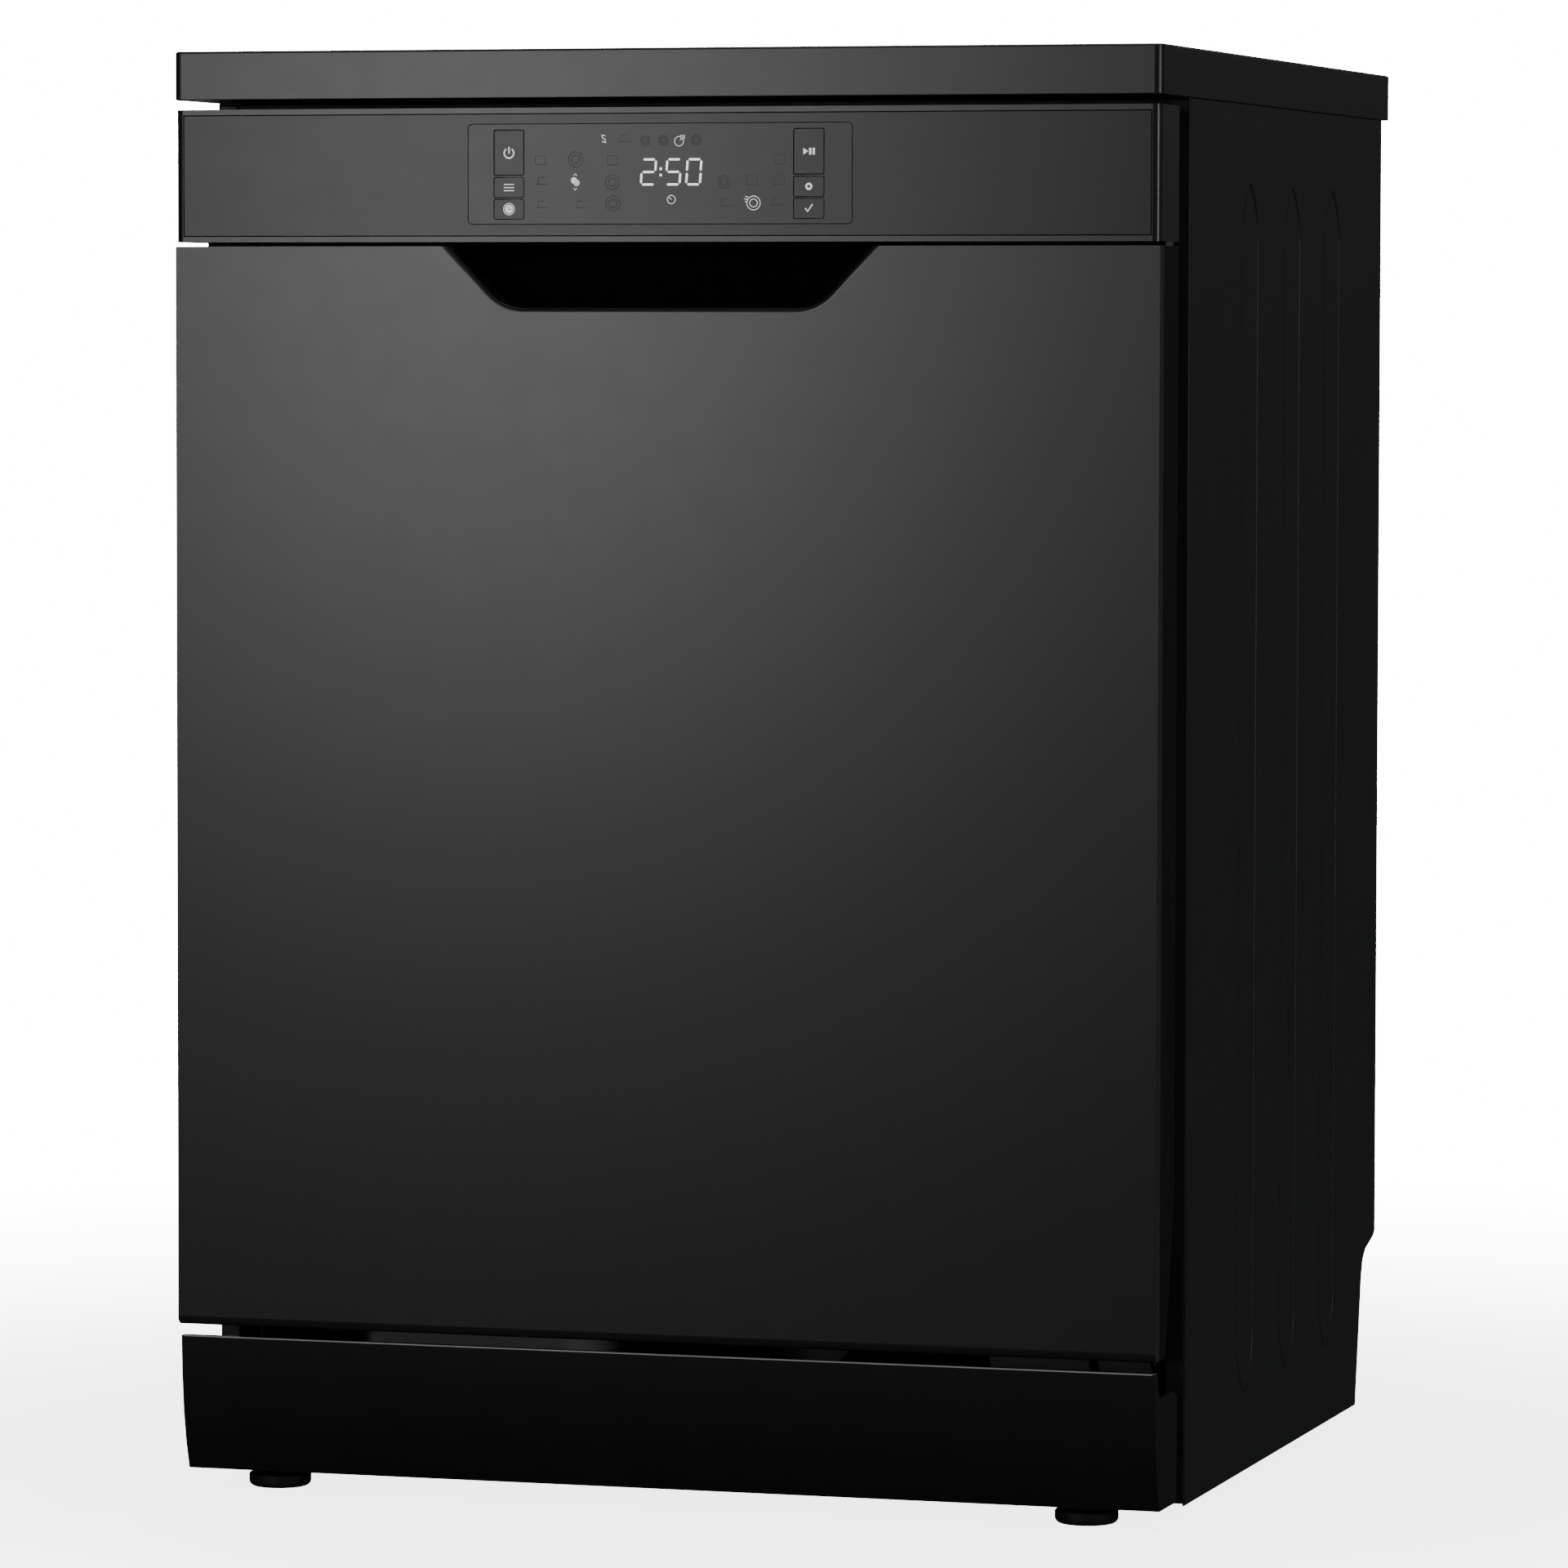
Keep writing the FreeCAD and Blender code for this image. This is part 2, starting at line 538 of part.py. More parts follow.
# ---- hinges ------------------------------------------------------------------------
def make_hinges():
    x0, x1 = BRACKET_X
    plate = prism_x([(HINGE_Y, 128), (-212, 128), (-212, TRAY_FLOOR + TRAY_WALL),
                     (-150, TRAY_FLOOR + TRAY_WALL), (-150, 147), (HINGE_Y, 147)], x0, x1)
    plate = plate.fuse(rod(14, (x0, HINGE_Y, HINGE_Z), (x1, HINGE_Y, HINGE_Z)))
    bore = rod(PIN_R + RUN_FIT, (x0 - 5, HINGE_Y, HINGE_Z), (x1 + 5, HINGE_Y, HINGE_Z))
    export("hinge_brackets", pair(plate.cut(bore).removeSplitter()))
    a0, a1 = ARM_X
    arm = prism_x([(HINGE_Y - 9, HINGE_Z), (HINGE_Y + 9, HINGE_Z), (-253, 165), (-253, 330),
                   (-268, 330), (-273, 165)], a0, a1)
    eye = rod(12, (a0, HINGE_Y, HINGE_Z), (a1, HINGE_Y, HINGE_Z))
    tail = prism_x([(HINGE_Y, 124), (-243, 112), (-239, 121), (HINGE_Y, 139)], a0, a1)
    pin = rod(PIN_R, (a0 + 1, HINGE_Y, HINGE_Z), (x1 + 4, HINGE_Y, HINGE_Z))
    export("hinge_arms", pair(fuse([arm, eye, tail, pin])))


def make_springs():
    """Long balance springs beside the tray walls, drawn as closed coils."""
    springs = []
    for sign in (-1, 1):
        x = sign * SPRING_X
        coil = rod(7, (x, -142, 34), (x, -62, 34))
        rope = rod(1.2, (x, -141, 34), (x, -236, 116))
        anchor = box(x - 5, x + 5, -63, -56, TRAY_FLOOR + TRAY_WALL, 42)
        springs.append(fuse([coil, rope, anchor]))
    export("balance_springs", springs)


# ---- water distribution --------------------------------------------------------------
def spray_arm(z, hub_top, reach):
    """Two hollow blades on a round hub; the bore runs on a fixed post."""
    shoulder = 0.92 * reach

    def blade(sign):
        root_a, root_b = V(0, ARM_Y - 23, z), V(0, ARM_Y + 23, z)
        end_a, end_b = V(sign * shoulder, ARM_Y - 13, z), V(sign * shoulder, ARM_Y + 13, z)
        tip = Part.Arc(end_a, V(sign * reach, ARM_Y, z), end_b).toShape()
        sides = [Part.makeLine(root_a, end_a), tip, Part.makeLine(end_b, root_b),
                 Part.makeLine(root_b, root_a)]
        return Part.Face(Part.Wire(sides)).extrude(V(0, 0, 11))

    hub = rod(27, (0, ARM_Y, z - 3), (0, ARM_Y, hub_top))
    arm = fuse([blade(1), blade(-1), hub])
    for k in range(5):
        y = ARM_Y - 4 + 3 * (k % 3 - 1)
        for sign in (-1, 1):
            x = sign * (50 + k * (reach - 75) / 4)
            arm = arm.fuse(box(x - 5, x + 5, y, y + 5, z + 10, z + 12.5))
    return arm.cut(rod(ARM_BORE, (0, ARM_Y, z - 10), (0, ARM_Y, hub_top + 10))).removeSplitter()


def make_spray_system():
    export("lower_spray_arm", spray_arm(LOWER_ARM_Z, 190.0, 222.0))
    export("upper_spray_arm", spray_arm(UPPER_ARM_Z, 488.0, 216.0))
    riser = box(-14, 14, 249, TUB_BACK, TUB_LEDGE, 796)
    top = box(-14, 14, ARM_Y, TUB_BACK, 786, 796)
    port = rod(15, (0, 246, UPPER_FLOOR - 14), (0, 252, UPPER_FLOOR - 14))
    rose = rod(38, (0, ARM_Y, 776), (0, ARM_Y, 796))
    pipe = fuse([riser, top, port, rose])
    for k in range(10):
        a = 2 * math.pi * k / 10
        x, y = 26 * math.cos(a), ARM_Y + 26 * math.sin(a)
        pipe = pipe.cut(rod(2.0, (x, y, 770), (x, y, 781)))
    export("spray_feed_pipe", pipe.removeSplitter())


# ---- rack rails ----------------------------------------------------------------------
def make_rails():
    z0, z1 = RAIL_Z
    rail = box(275, TUB_X - SHEET, -224, 246, z0, z1)
    rail = rail.cut(box(270, 280, -230, 250, z0 + 3, z1 - 3))
    export("upper_rails", pair(rail))
    runner = box(271.5, 279.5, -220, 242, z0 + 4, z1 - 4)
    bracket_f = box(262.6, 272, -170, -130, z0 + 8, z1 - 8)
    bracket_r = box(262.6, 272, 130, 170, z0 + 8, z1 - 8)
    export("upper_runners", pair(fuse([runner, bracket_f, bracket_r])))


# ---- racks ---------------------------------------------------------------------------
def spread(low, high, count):
    """Evenly spaced values from low to high."""
    return [low + (high - low) * k / (count - 1) for k in range(count)]


def wire_basket(half_x, floor_z, rim_z, columns, rows):
    """Open basket of straight wires that touch side by side without overlapping."""
    r, d = WIRE_R, 2 * WIRE_R
    x = half_x - d
    y0, y1 = RACK_FRONT + d, RACK_BACK - d
    wires = []
    for z in (floor_z, rim_z):
        for y in (y0 + r, y1 - r):
            wires.append(rod(r, (-half_x, y, z), (half_x, y, z)))
        for side in (r - x, x - r):
            wires.append(rod(r, (side, y0, z - d), (side, y1, z - d)))
    for column in spread(-x + 30, x - 30, columns):
        wires.append(rod(r, (column, y0, floor_z - d), (column, y1, floor_z - d)))
        for y in (RACK_FRONT + r, RACK_BACK - r):
            wires.append(rod(r, (column, y, floor_z - r), (column, y, rim_z + r)))
    for row in spread(y0 + 45, y1 - 45, rows):
        wires.append(rod(r, (-x, row, floor_z), (x, row, floor_z)))
        for side in (r - half_x, half_x - r):
            wires.append(rod(r, (side, row, floor_z - d), (side, row, rim_z - r)))
    return wires


def tine_row(x, z, height, ys, tail=8):
    """Upright pegs on one long wire."""
    base = rod(WIRE_R, (x, ys[0] - tail, z), (x, ys[-1] + tail, z))
    pegs = [rod(WIRE_R, (x, y, z + WIRE_R), (x, y, z + height)) for y in ys]
    return [base] + pegs


def rack_handle(rim):
    """Moulded grip plate on the front of a rack."""
    handle = box(-70, 70, RACK_FRONT - 3, RACK_FRONT, rim - 20, rim + 8)
    return round_edges(handle, 8, Y_AXIS, lambda c: True)


def make_lower_rack():
    wires = wire_basket(LOWER_RACK_X, LOWER_FLOOR, LOWER_RIM, 9, 7)
    for x in (-150, -60):
        wires += tine_row(x, LOWER_FLOOR + 2 * WIRE_R, TINE_H, spread(-170, 190, 12))
    wires.append(rack_handle(LOWER_RIM))
    x, z = TINE_AXIS_X, TINE_AXIS_Z
    for y in (-186, 206):
        clip = box(x - 5, x + 5, y - 3, y + 3, LOWER_FLOOR + WIRE_R, z + 5)
        wires.append(clip.cut(rod(WIRE_R + RUN_FIT, (x, y - 5, z), (x, y + 5, z))))
    x, z = LOWER_RACK_X, WHEEL_Z
    outer = WHEEL_X + WHEEL_W
    for y in WHEEL_YS.values():
        hanger = box(x, x + 8, y - 14, y + 14, z - 8, LOWER_FLOOR + 30)
        stub = rod(AXLE_R, (x + 7, y, z), (outer + 2, y, z))
        cap = rod(5, (outer + 1.3, y, z), (outer + 3, y, z))
        wires += pair(fuse([hanger, stub, cap]))
    export("lower_rack", wires)


def make_wheels():
    x, z = WHEEL_X, WHEEL_Z
    for name, y in WHEEL_YS.items():
        wheel = ring(WHEEL_R, AXLE_R + RUN_FIT, (x, y, z), (x + WHEEL_W, y, z))
        wheel = wheel.cut(ring(WHEEL_R - 3, AXLE_R + 4, (x - 1, y, z), (x + 2, y, z)))
        for k in range(5):
            turn = 2 * math.pi * k / 5
            hole_y, hole_z = y + 9 * math.cos(turn), z + 9 * math.sin(turn)
            wheel = wheel.cut(rod(1.6, (x - 1, hole_y, hole_z), (x + 20, hole_y, hole_z)))
        export(name, pair(wheel))


def make_fold_tines():
    ys = spread(-170, 190, 12)
    row = fuse(tine_row(TINE_AXIS_X, TINE_AXIS_Z, TINE_H, ys, tail=22))
    export("fold_tines", row)


def make_cutlery_basket():
    x0, x1, y0, y1, z0, z1 = BASKET
    wall = 2.5
    shell = box(x0, x1, y0, y1, z0, z1)
    shell = round_edges(shell, 8, Z_AXIS, lambda c: True)
    xs = spread(x0, x1, 3)
    ys = spread(y0, y1, 4)
    for xa, xb in zip(xs, xs[1:]):
        for ya, yb in zip(ys, ys[1:]):
            cell = box(xa + wall, xb - wall, ya + wall, yb - wall, z0 + wall, z1 + 1)
            shell = shell.cut(cell)
    for z in spread(z0 + 14, z1 - 22, 5):
        for y in spread(y0 + 18, y1 - 18, 8):
            shell = shell.cut(box(x0 - 5, x1 + 5, y - 6, y + 6, z - 4, z + 4))
    export("cutlery_basket", shell.removeSplitter())


def make_upper_rack():
    wires = wire_basket(UPPER_RACK_X, UPPER_FLOOR, UPPER_RIM, 9, 7)
    for x in (-80, 80):
        wires += tine_row(x, UPPER_FLOOR + 2 * WIRE_R, 58, spread(-165, 185, 12))
    wires.append(rack_handle(UPPER_RIM))
    side = UPPER_RACK_X
    for y in (-150, 150):
        wires += pair(box(side, side + 4.6, y - 25, y + 25, 560, 610))
    pipe_z = UPPER_FLOOR - 14
    feed = ring(7, 5, (0, ARM_Y, pipe_z), (0, 241, pipe_z))
    elbow = rod(12, (0, ARM_Y, 488.4), (0, ARM_Y, UPPER_FLOOR - 3 * WIRE_R - 0.1))
    post = rod(ARM_BORE - RUN_FIT, (0, ARM_Y, 470), (0, ARM_Y, 490))
    clip = rod(13, (0, ARM_Y, 467), (0, ARM_Y, 470.6))
    wires.append(fuse([feed, elbow, post, clip]))
    x, z = SHELF_AXIS_X, SHELF_AXIS_Z
    for y in SHELF_HOOK_YS:
        upright = box(x - 13, x - 7.7, y - 4, y + 4, UPPER_RIM - 4 * WIRE_R, z + 5)
        block = box(x - 8, x + 2, y - 4, y + 4, z - 3, z + 3)
        wires.append(fuse([upright, block, rod(AXLE_R, (x, y - 8, z), (x, y + 8, z))]))
    export("upper_rack", wires)


def make_cup_shelf():
    """Folding shelf for cups, on pins above the left rim."""
    x0, z = SHELF_AXIS_X, SHELF_AXIS_Z
    plate = box(x0 + 6, x0 + SHELF_REACH, -185, 185, z - 2, z + 2)
    plate = round_edges(plate, 10, Z_AXIS, lambda c: c.x > x0 + 50)
    for y in spread(-160, 160, 9):
        plate = plate.cut(box(x0 + 22, x0 + SHELF_REACH - 12, y - 14, y + 14, z - 5, z + 5))
    for y in SHELF_HOOK_YS:
        for s in (-1, 1):
            a, b = sorted((y + s * 4.6, y + s * 9))
            knuckle = rod(6.0, (x0, a, z), (x0, b, z)).fuse(box(x0, x0 + 8, a, b, z - 2, z + 2))
            plate = plate.cut(box(x0 - 7, x0 + 7, a, b, z - 7, z + 7)).fuse(knuckle)
            plate = plate.cut(rod(AXLE_R + RUN_FIT, (x0, a - 1, z), (x0, b + 1, z)))
    export("cup_shelf", plate.removeSplitter())


# ---- door ----------------------------------------------------------------------------
def recess_outline(grow, top):
    """Outline of the finger recess, open at the top edge of the door panel."""
    knee = DOOR_TOP - RECESS_KNEE_DROP
    floor = DOOR_TOP - RECESS_DROP - grow
    slope = (RECESS_TOP_X - RECESS_KNEE_X) / RECESS_KNEE_DROP
    wide = RECESS_TOP_X + grow + slope * (top - DOOR_TOP)
    a, b = RECESS_KNEE_X + grow, RECESS_FLAT_X
    right = [(wide, top), (a + 1.5, knee + 1.6), (a - 4, knee - 3.6 - 0.4 * grow),
             (a - 11, knee - 5.2 - 0.7 * grow), (b, floor)]
    return [(-x, z) for x, z in right] + [(x, z) for x, z in reversed(right)]


def door_block(inset, back):
    """Front of the door panel as a solid, drawn in by an inset on every outer face."""
    x = SIDE_X - inset
    front, bottom = DOOR_FRONT + inset, DOOR_BOTTOM + inset
    block = box(-x, x, front, back, bottom, DOOR_TOP - inset)
    block = round_edges(block, DOOR_CORNER_R - inset, Z_AXIS, lambda c: c.y < front + 0.1)
    low = [e for e in block.Edges if e.BoundBox.ZMax < bottom + 0.1
           and e.BoundBox.YMax < front + 4 and e.BoundBox.XLength > 100]
    return block.makeFillet(DOOR_FOOT_R - inset, low)


def make_outer_panel():
    """Folded steel front with returns on all sides and the cut-out of the finger recess."""
    t = SHEET
    panel = door_block(0.0, DOOR_BACK).cut(door_block(t, DOOR_BACK + 1))
    inner_x = SIDE_X - t
    panel = panel.cut(box(-inner_x, inner_x, DOOR_FRONT + 12, DOOR_BACK + 1,
                          DOOR_TOP - 2 * t, DOOR_TOP + 1))
    taper = prism_x([(DOOR_BACK + 1, 190), (DOOR_BACK, 190), (-276, DOOR_BOTTOM - 1),
                     (DOOR_BACK + 1, 90)], -SIDE_X - 1, SIDE_X + 1)
    panel = panel.cut(taper)
    recess = prism_y(recess_outline(0.0, DOOR_TOP + 1), DOOR_FRONT - 1, DOOR_FRONT + 20)
    panel = panel.cut(recess)
    panel = panel.cut(rod(2.6, (-SIDE_X - 1, -265.5, 198), (SIDE_X + 1, -265.5, 198)))
    slot = box(SPRING_X - 5, SPRING_X + 5, -291, DOOR_BACK, DOOR_BOTTOM - 1, DOOR_BOTTOM + 2)
    panel = panel.cut(slot).cut(mirrored(slot))
    export("door_outer_panel", panel.removeSplitter())


def make_liner():
    t = SHEET
    back = DOOR_BACK - 6
    outer = box(-LINER_X, LINER_X, back, LINER_FACE, LINER_BOTTOM, LINER_TOP)
    inner = box(-LINER_X + t, LINER_X - t, back - 1, LINER_FACE - t, LINER_BOTTOM + t, LINER_TOP - t)
    raised = box(-LINER_RAISED_X, LINER_RAISED_X, LINER_FACE - 1, LINER_RAISED_FACE, 172, 775)
    raised = round_edges(raised, 18, Y_AXIS, lambda c: True)
    hollow = box(-LINER_RAISED_X + t, LINER_RAISED_X - t, LINER_FACE - 5, LINER_RAISED_FACE - t, 173, 774)
    hollow = round_edges(hollow, 17, Y_AXIS, lambda c: True)
    liner = outer.cut(inner).fuse(raised).cut(hollow)
    for s in (-1, 1):
        x0, x1 = sorted((s * 266.0, s * 300.0))
        liner = liner.cut(box(x0, x1, -300, -200, 100, 167))
    x0, x1, z0, z1 = DISPENSER
    liner = liner.cut(box(x0, x1, -300, -200, z0, z1))
    export("door_liner", liner.removeSplitter())


def make_dispenser():
    x0, x1, z0, z1 = DISPENSER
    face = LINER_RAISED_FACE + 1
    body = box(x0, x1, face - 26, face, z0, z1)
    body = round_edges(body, 6, Y_AXIS, lambda c: True)
    lx0, lx1, lz0, lz1 = LID
    cup = box(lx0 + 6, lx1 - 6, face - 23, face + 1, lz0 + 6, lz1 - 6)
    cup = round_edges(cup, 8, Y_AXIS, lambda c: True)
    body = body.cut(cup)
    body = body.cut(rod(14.0, (CAP_X, face - 20, CAP_Z), (CAP_X, face + 1, CAP_Z)))
    for x in (lx0 - 4, lx1 + 0.5):
        body = body.fuse(box(x, x + 3.5, face - 0.5, face + 3, lz0, lz1 + 12))
    export("dispenser_body", body.removeSplitter())
    lid = box(lx0, lx1, face + 0.3, face + 2.6, lz0, lz1)
    lid = round_edges(lid, 5, Y_AXIS, lambda c: True)
    grip = box(lx0 + 24, lx1 - 24, face + 2.5, face + 5, lz0 + 8, lz0 + 13)
    export("dispenser_lid", lid.fuse(grip).removeSplitter())
    cap = rod(CAP_R, (CAP_X, face + 0.3, CAP_Z), (CAP_X, face + 3, CAP_Z))
    stem = rod(14.0 - RUN_FIT, (CAP_X, face - 12, CAP_Z), (CAP_X, face + 1, CAP_Z))
    grip = box(CAP_X - 16, CAP_X + 16, face + 2.5, face + 6, CAP_Z - 3, CAP_Z + 3)
    export("rinse_aid_cap", fuse([cap, stem, grip]))


def make_console():
    """Moulded housing behind the fascia, with the finger cup below it."""
    z0, z1 = CONSOLE_BOTTOM, CONSOLE_TOP
    wall = 2.5
    front_wall = DOOR_FRONT + FASCIA_T + wall
    block = box(-SIDE_X, SIDE_X, DOOR_FRONT, DOOR_BACK, z0, z1)
    block = round_edges(block, DOOR_CORNER_R, Z_AXIS, lambda c: c.y < DOOR_FRONT + 0.1)
    block = block.cut(box(-SIDE_X + wall, SIDE_X - wall, front_wall, DOOR_BACK + 1,
                          z0 + wall, z1 - wall))
    pocket_x = FASCIA_X + FASCIA_GAP
    block = block.cut(box(-pocket_x, pocket_x, DOOR_FRONT - 1, DOOR_FRONT + FASCIA_T,
                          z0 + FASCIA_INSET - FASCIA_GAP, z1 - FASCIA_INSET + FASCIA_GAP))
    block = block.cut(box(-107, 107, DOOR_FRONT - 1, front_wall + 1, 750.2, 804))
    liner_step = box(-LINER_X - 0.5, LINER_X + 0.5, DOOR_BACK - 6.5, DOOR_BACK + 1, z0 - 1, z0 + wall + 1)
    block = block.cut(liner_step)
    cup = prism_y(recess_outline(2.2, z0 + 1), DOOR_FRONT + SHEET, RECESS_BACK + 2)
    room = prism_y(recess_outline(0.2, z0 + 2), DOOR_FRONT - 1, RECESS_BACK)
    cup = cup.cut(room.common(box(-300, 300, -400, 0, 600, z0)))
    over_skin = box(-200, 200, -400, DOOR_FRONT + 13, DOOR_TOP - 2 * SHEET - 0.2, z0 - 0.01)
    block = block.fuse(cup).cut(over_skin)
    block = block.cut(box(-32, 32, -262, DOOR_BACK + 1, 796, z1 - wall - 0.5))
    for x in (-110.5, 110.5):
        for z in (747.5, 807.0):
            block = block.fuse(rod(2.2, (x, front_wall - 1, z), (x, BOARD_FRONT, z)))
    export("console_housing", block.removeSplitter())


def make_fascia():
    y0, y1 = DOOR_FRONT, DOOR_FRONT + FASCIA_T
    plate = box(-FASCIA_X, FASCIA_X, y0, y1, CONSOLE_BOTTOM + FASCIA_INSET,
                CONSOLE_TOP - FASCIA_INSET)
    gap = 0.4
    window = box(-DISPLAY_X - gap, DISPLAY_X + gap, y0 - 1, y1 + 1,
                 DISPLAY_BOTTOM - gap, DISPLAY_TOP + gap)
    window = round_edges(window, 2.9, Y_AXIS, lambda c: True)
    export("console_fascia", plate.cut(window))
    glass = box(-DISPLAY_X, DISPLAY_X, y0, y1, DISPLAY_BOTTOM, DISPLAY_TOP)
    glass = round_edges(glass, 2.5, Y_AXIS, lambda c: True)
    g = BUTTON_GAP
    for x0, x1, z0, z1 in button_places().values():
        hole = box(x0 - g, x1 + g, y0 - 1, y1 + 1, z0 - g, z1 + g)
        glass = glass.cut(round_edges(hole, 1.2, Y_AXIS, lambda c: True))
    export("display_window", glass)


def button_places():
    """Left, right, bottom and top of each button."""
    names = {"left": ("power_button", "menu_button", "delay_button"),
             "right": ("start_button", "option_button", "confirm_button")}
    centres = {"left": BUTTON_LEFT, "right": BUTTON_RIGHT}
    places = {}
    for side, labels in names.items():
        x = centres[side]
        for name, row in zip(labels, ("tall", "middle", "low")):
            z0, z1 = BUTTON_ROWS[row]
            places[name] = (x - BUTTON_W / 2, x + BUTTON_W / 2, z0, z1)
    return places


def make_buttons():
    for name, (x0, x1, z0, z1) in button_places().items():
        cap = box(x0, x1, BUTTON_FACE, BUTTON_FACE + BUTTON_CAP_T, z0, z1)
        cap = round_edges(cap, 0.9, Y_AXIS, lambda c: True)
        x, z = (x0 + x1) / 2, (z0 + z1) / 2
        stem = rod(2.0, (x, BUTTON_FACE + 3, z), (x, STEM_END, z))
        export(name, cap.fuse(stem).removeSplitter())


def make_board():
    board = box(-113, 113, BOARD_FRONT, BOARD_FRONT + 1.6, 744.5, 810)
    pieces = [board]
    for x0, x1, z0, z1 in button_places().values():
        x, z = (x0 + x1) / 2, (z0 + z1) / 2
        pieces.append(box(x - 3, x + 3, BOARD_FRONT - 1.5, BOARD_FRONT, z - 3, z + 3))
    pieces.append(box(-45, 65, BOARD_FRONT - 7, BOARD_FRONT, 755, 800))
    pieces.append(box(-100, -40, BOARD_FRONT + 1.6, BOARD_FRONT + 12, 760, 790))
    export("control_board", fuse(pieces))


def make_latch():
    body = box(-28, 28, -261.8, -246.2, 797, 812.5)
    slot = box(-10, 10, -263, -240, 800.5, 809.5)
    export("door_latch", body.cut(slot))
    y = TUB_FRONT - FRAME_T
    plate = box(-16, 16, y - 2, y, 797, 811.5)
    tongue = box(-6, 6, -260, y - 1, 803, 807)
    tongue = tongue.cut(box(-3, 3, -257, -252, 800, 810))
    export("door_strike", fuse([plate, tongue]))


def main():
    os.makedirs("parts", exist_ok=True)
    for build in (make_worktop, make_side_panels, make_rear_panel, make_rear_screws,
                  make_crossbars, make_feet, make_base_tray, make_kickplate, make_tub,
                  make_gasket, make_insulation, make_air_breaker, make_sump, make_filters,
                  make_wet_side, make_fittings, make_hinges, make_springs, make_spray_system,
                  make_rails, make_lower_rack, make_wheels, make_fold_tines,
                  make_cutlery_basket, make_upper_rack, make_cup_shelf, make_outer_panel,
                  make_liner, make_dispenser, make_console, make_fascia, make_buttons,
                  make_board, make_latch):
        build()


main()
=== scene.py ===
"""Looks of the free-standing dishwasher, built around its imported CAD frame. Metres."""
import json
import math

import bmesh
import bpy
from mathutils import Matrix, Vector


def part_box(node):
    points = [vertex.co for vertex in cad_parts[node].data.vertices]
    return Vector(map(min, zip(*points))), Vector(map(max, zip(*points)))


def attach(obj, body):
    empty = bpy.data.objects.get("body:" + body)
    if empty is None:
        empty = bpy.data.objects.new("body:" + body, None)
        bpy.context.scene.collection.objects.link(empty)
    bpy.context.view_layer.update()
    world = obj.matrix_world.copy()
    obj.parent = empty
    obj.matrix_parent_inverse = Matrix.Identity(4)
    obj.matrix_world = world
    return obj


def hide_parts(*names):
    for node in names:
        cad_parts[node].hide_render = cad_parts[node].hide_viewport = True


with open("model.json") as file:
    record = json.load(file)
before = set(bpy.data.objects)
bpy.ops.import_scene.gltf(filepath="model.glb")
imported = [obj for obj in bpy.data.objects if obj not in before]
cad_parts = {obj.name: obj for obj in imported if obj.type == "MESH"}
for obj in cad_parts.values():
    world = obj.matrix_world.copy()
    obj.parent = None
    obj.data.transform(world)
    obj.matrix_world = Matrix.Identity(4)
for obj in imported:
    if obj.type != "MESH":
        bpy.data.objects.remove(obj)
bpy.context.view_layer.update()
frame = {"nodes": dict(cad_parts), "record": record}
NODES = frame["nodes"]
SLOT_OF = {part["node"]: part["material_slot"] for part in frame["record"]["subparts"]}
BODY_OF = {node: body for body, members in frame["record"]["behaviour"]["bodies"].items()
           for node in members}
MM = 0.001


# ---- camera, floor and light ---------------------------------------------------------
CAMERA_AT = (1.3822, -4.6520, 0.6879)
CAMERA_YAW = 16.71
CAMERA_PITCH = -3.295
CAMERA_ROLL = 0.11
CAMERA_LENS = 181.3
SENSOR = 36.0


def add_camera():
    data = bpy.data.cameras.new("photo_camera")
    data.lens = CAMERA_LENS
    data.sensor_width = SENSOR
    data.sensor_fit = "HORIZONTAL"
    camera = bpy.data.objects.new("photo_camera", data)
    camera.location = CAMERA_AT
    tilt = math.radians(90 + CAMERA_PITCH)
    camera.rotation_mode = "XYZ"
    camera.rotation_euler = (tilt, math.radians(-CAMERA_ROLL), math.radians(CAMERA_YAW))
    bpy.context.scene.collection.objects.link(camera)
    bpy.context.scene.camera = camera


def add_light(name, place, target, size, power, tint=(1, 1, 1)):
    """Rectangular soft light that faces a target point."""
    data = bpy.data.lights.new(name, "AREA")
    data.shape = "RECTANGLE"
    data.size, data.size_y = size
    data.energy = power
    data.color = tint
    light = bpy.data.objects.new(name, data)
    light.location = place
    aim = Vector(target) - Vector(place)
    light.rotation_euler = aim.to_track_quat("-Z", "Y").to_euler()
    bpy.context.scene.collection.objects.link(light)


def add_lights():
    add_light("key_softbox", (-1.34, -3.9, 0.98), (-0.10, -0.3, 0.76), (0.30, 1.15), 31.5)
    add_light("front_fill", (-0.6, -4.6, 2.4), (0, 0, 0.5), (3.0, 1.0), 10)
    add_light("top_softbox", (0.2, 0.2, 3.2), (0, 0, 0.4), (2.6, 2.6), 80)
    add_light("rear_softbox", (-1.8, 3.4, 2.2), (0, 0, 0.4), (2.0, 1.4), 70)
    add_light("edge_strip", (3.3, -1.5, 1.0), (0.3, -0.3, 0.5), (0.5, 2.2), 46)
    add_light("side_card", (2.3, 4.4, 2.0), (0.3, 0, 0.6), (2.6, 1.8), 2.6)


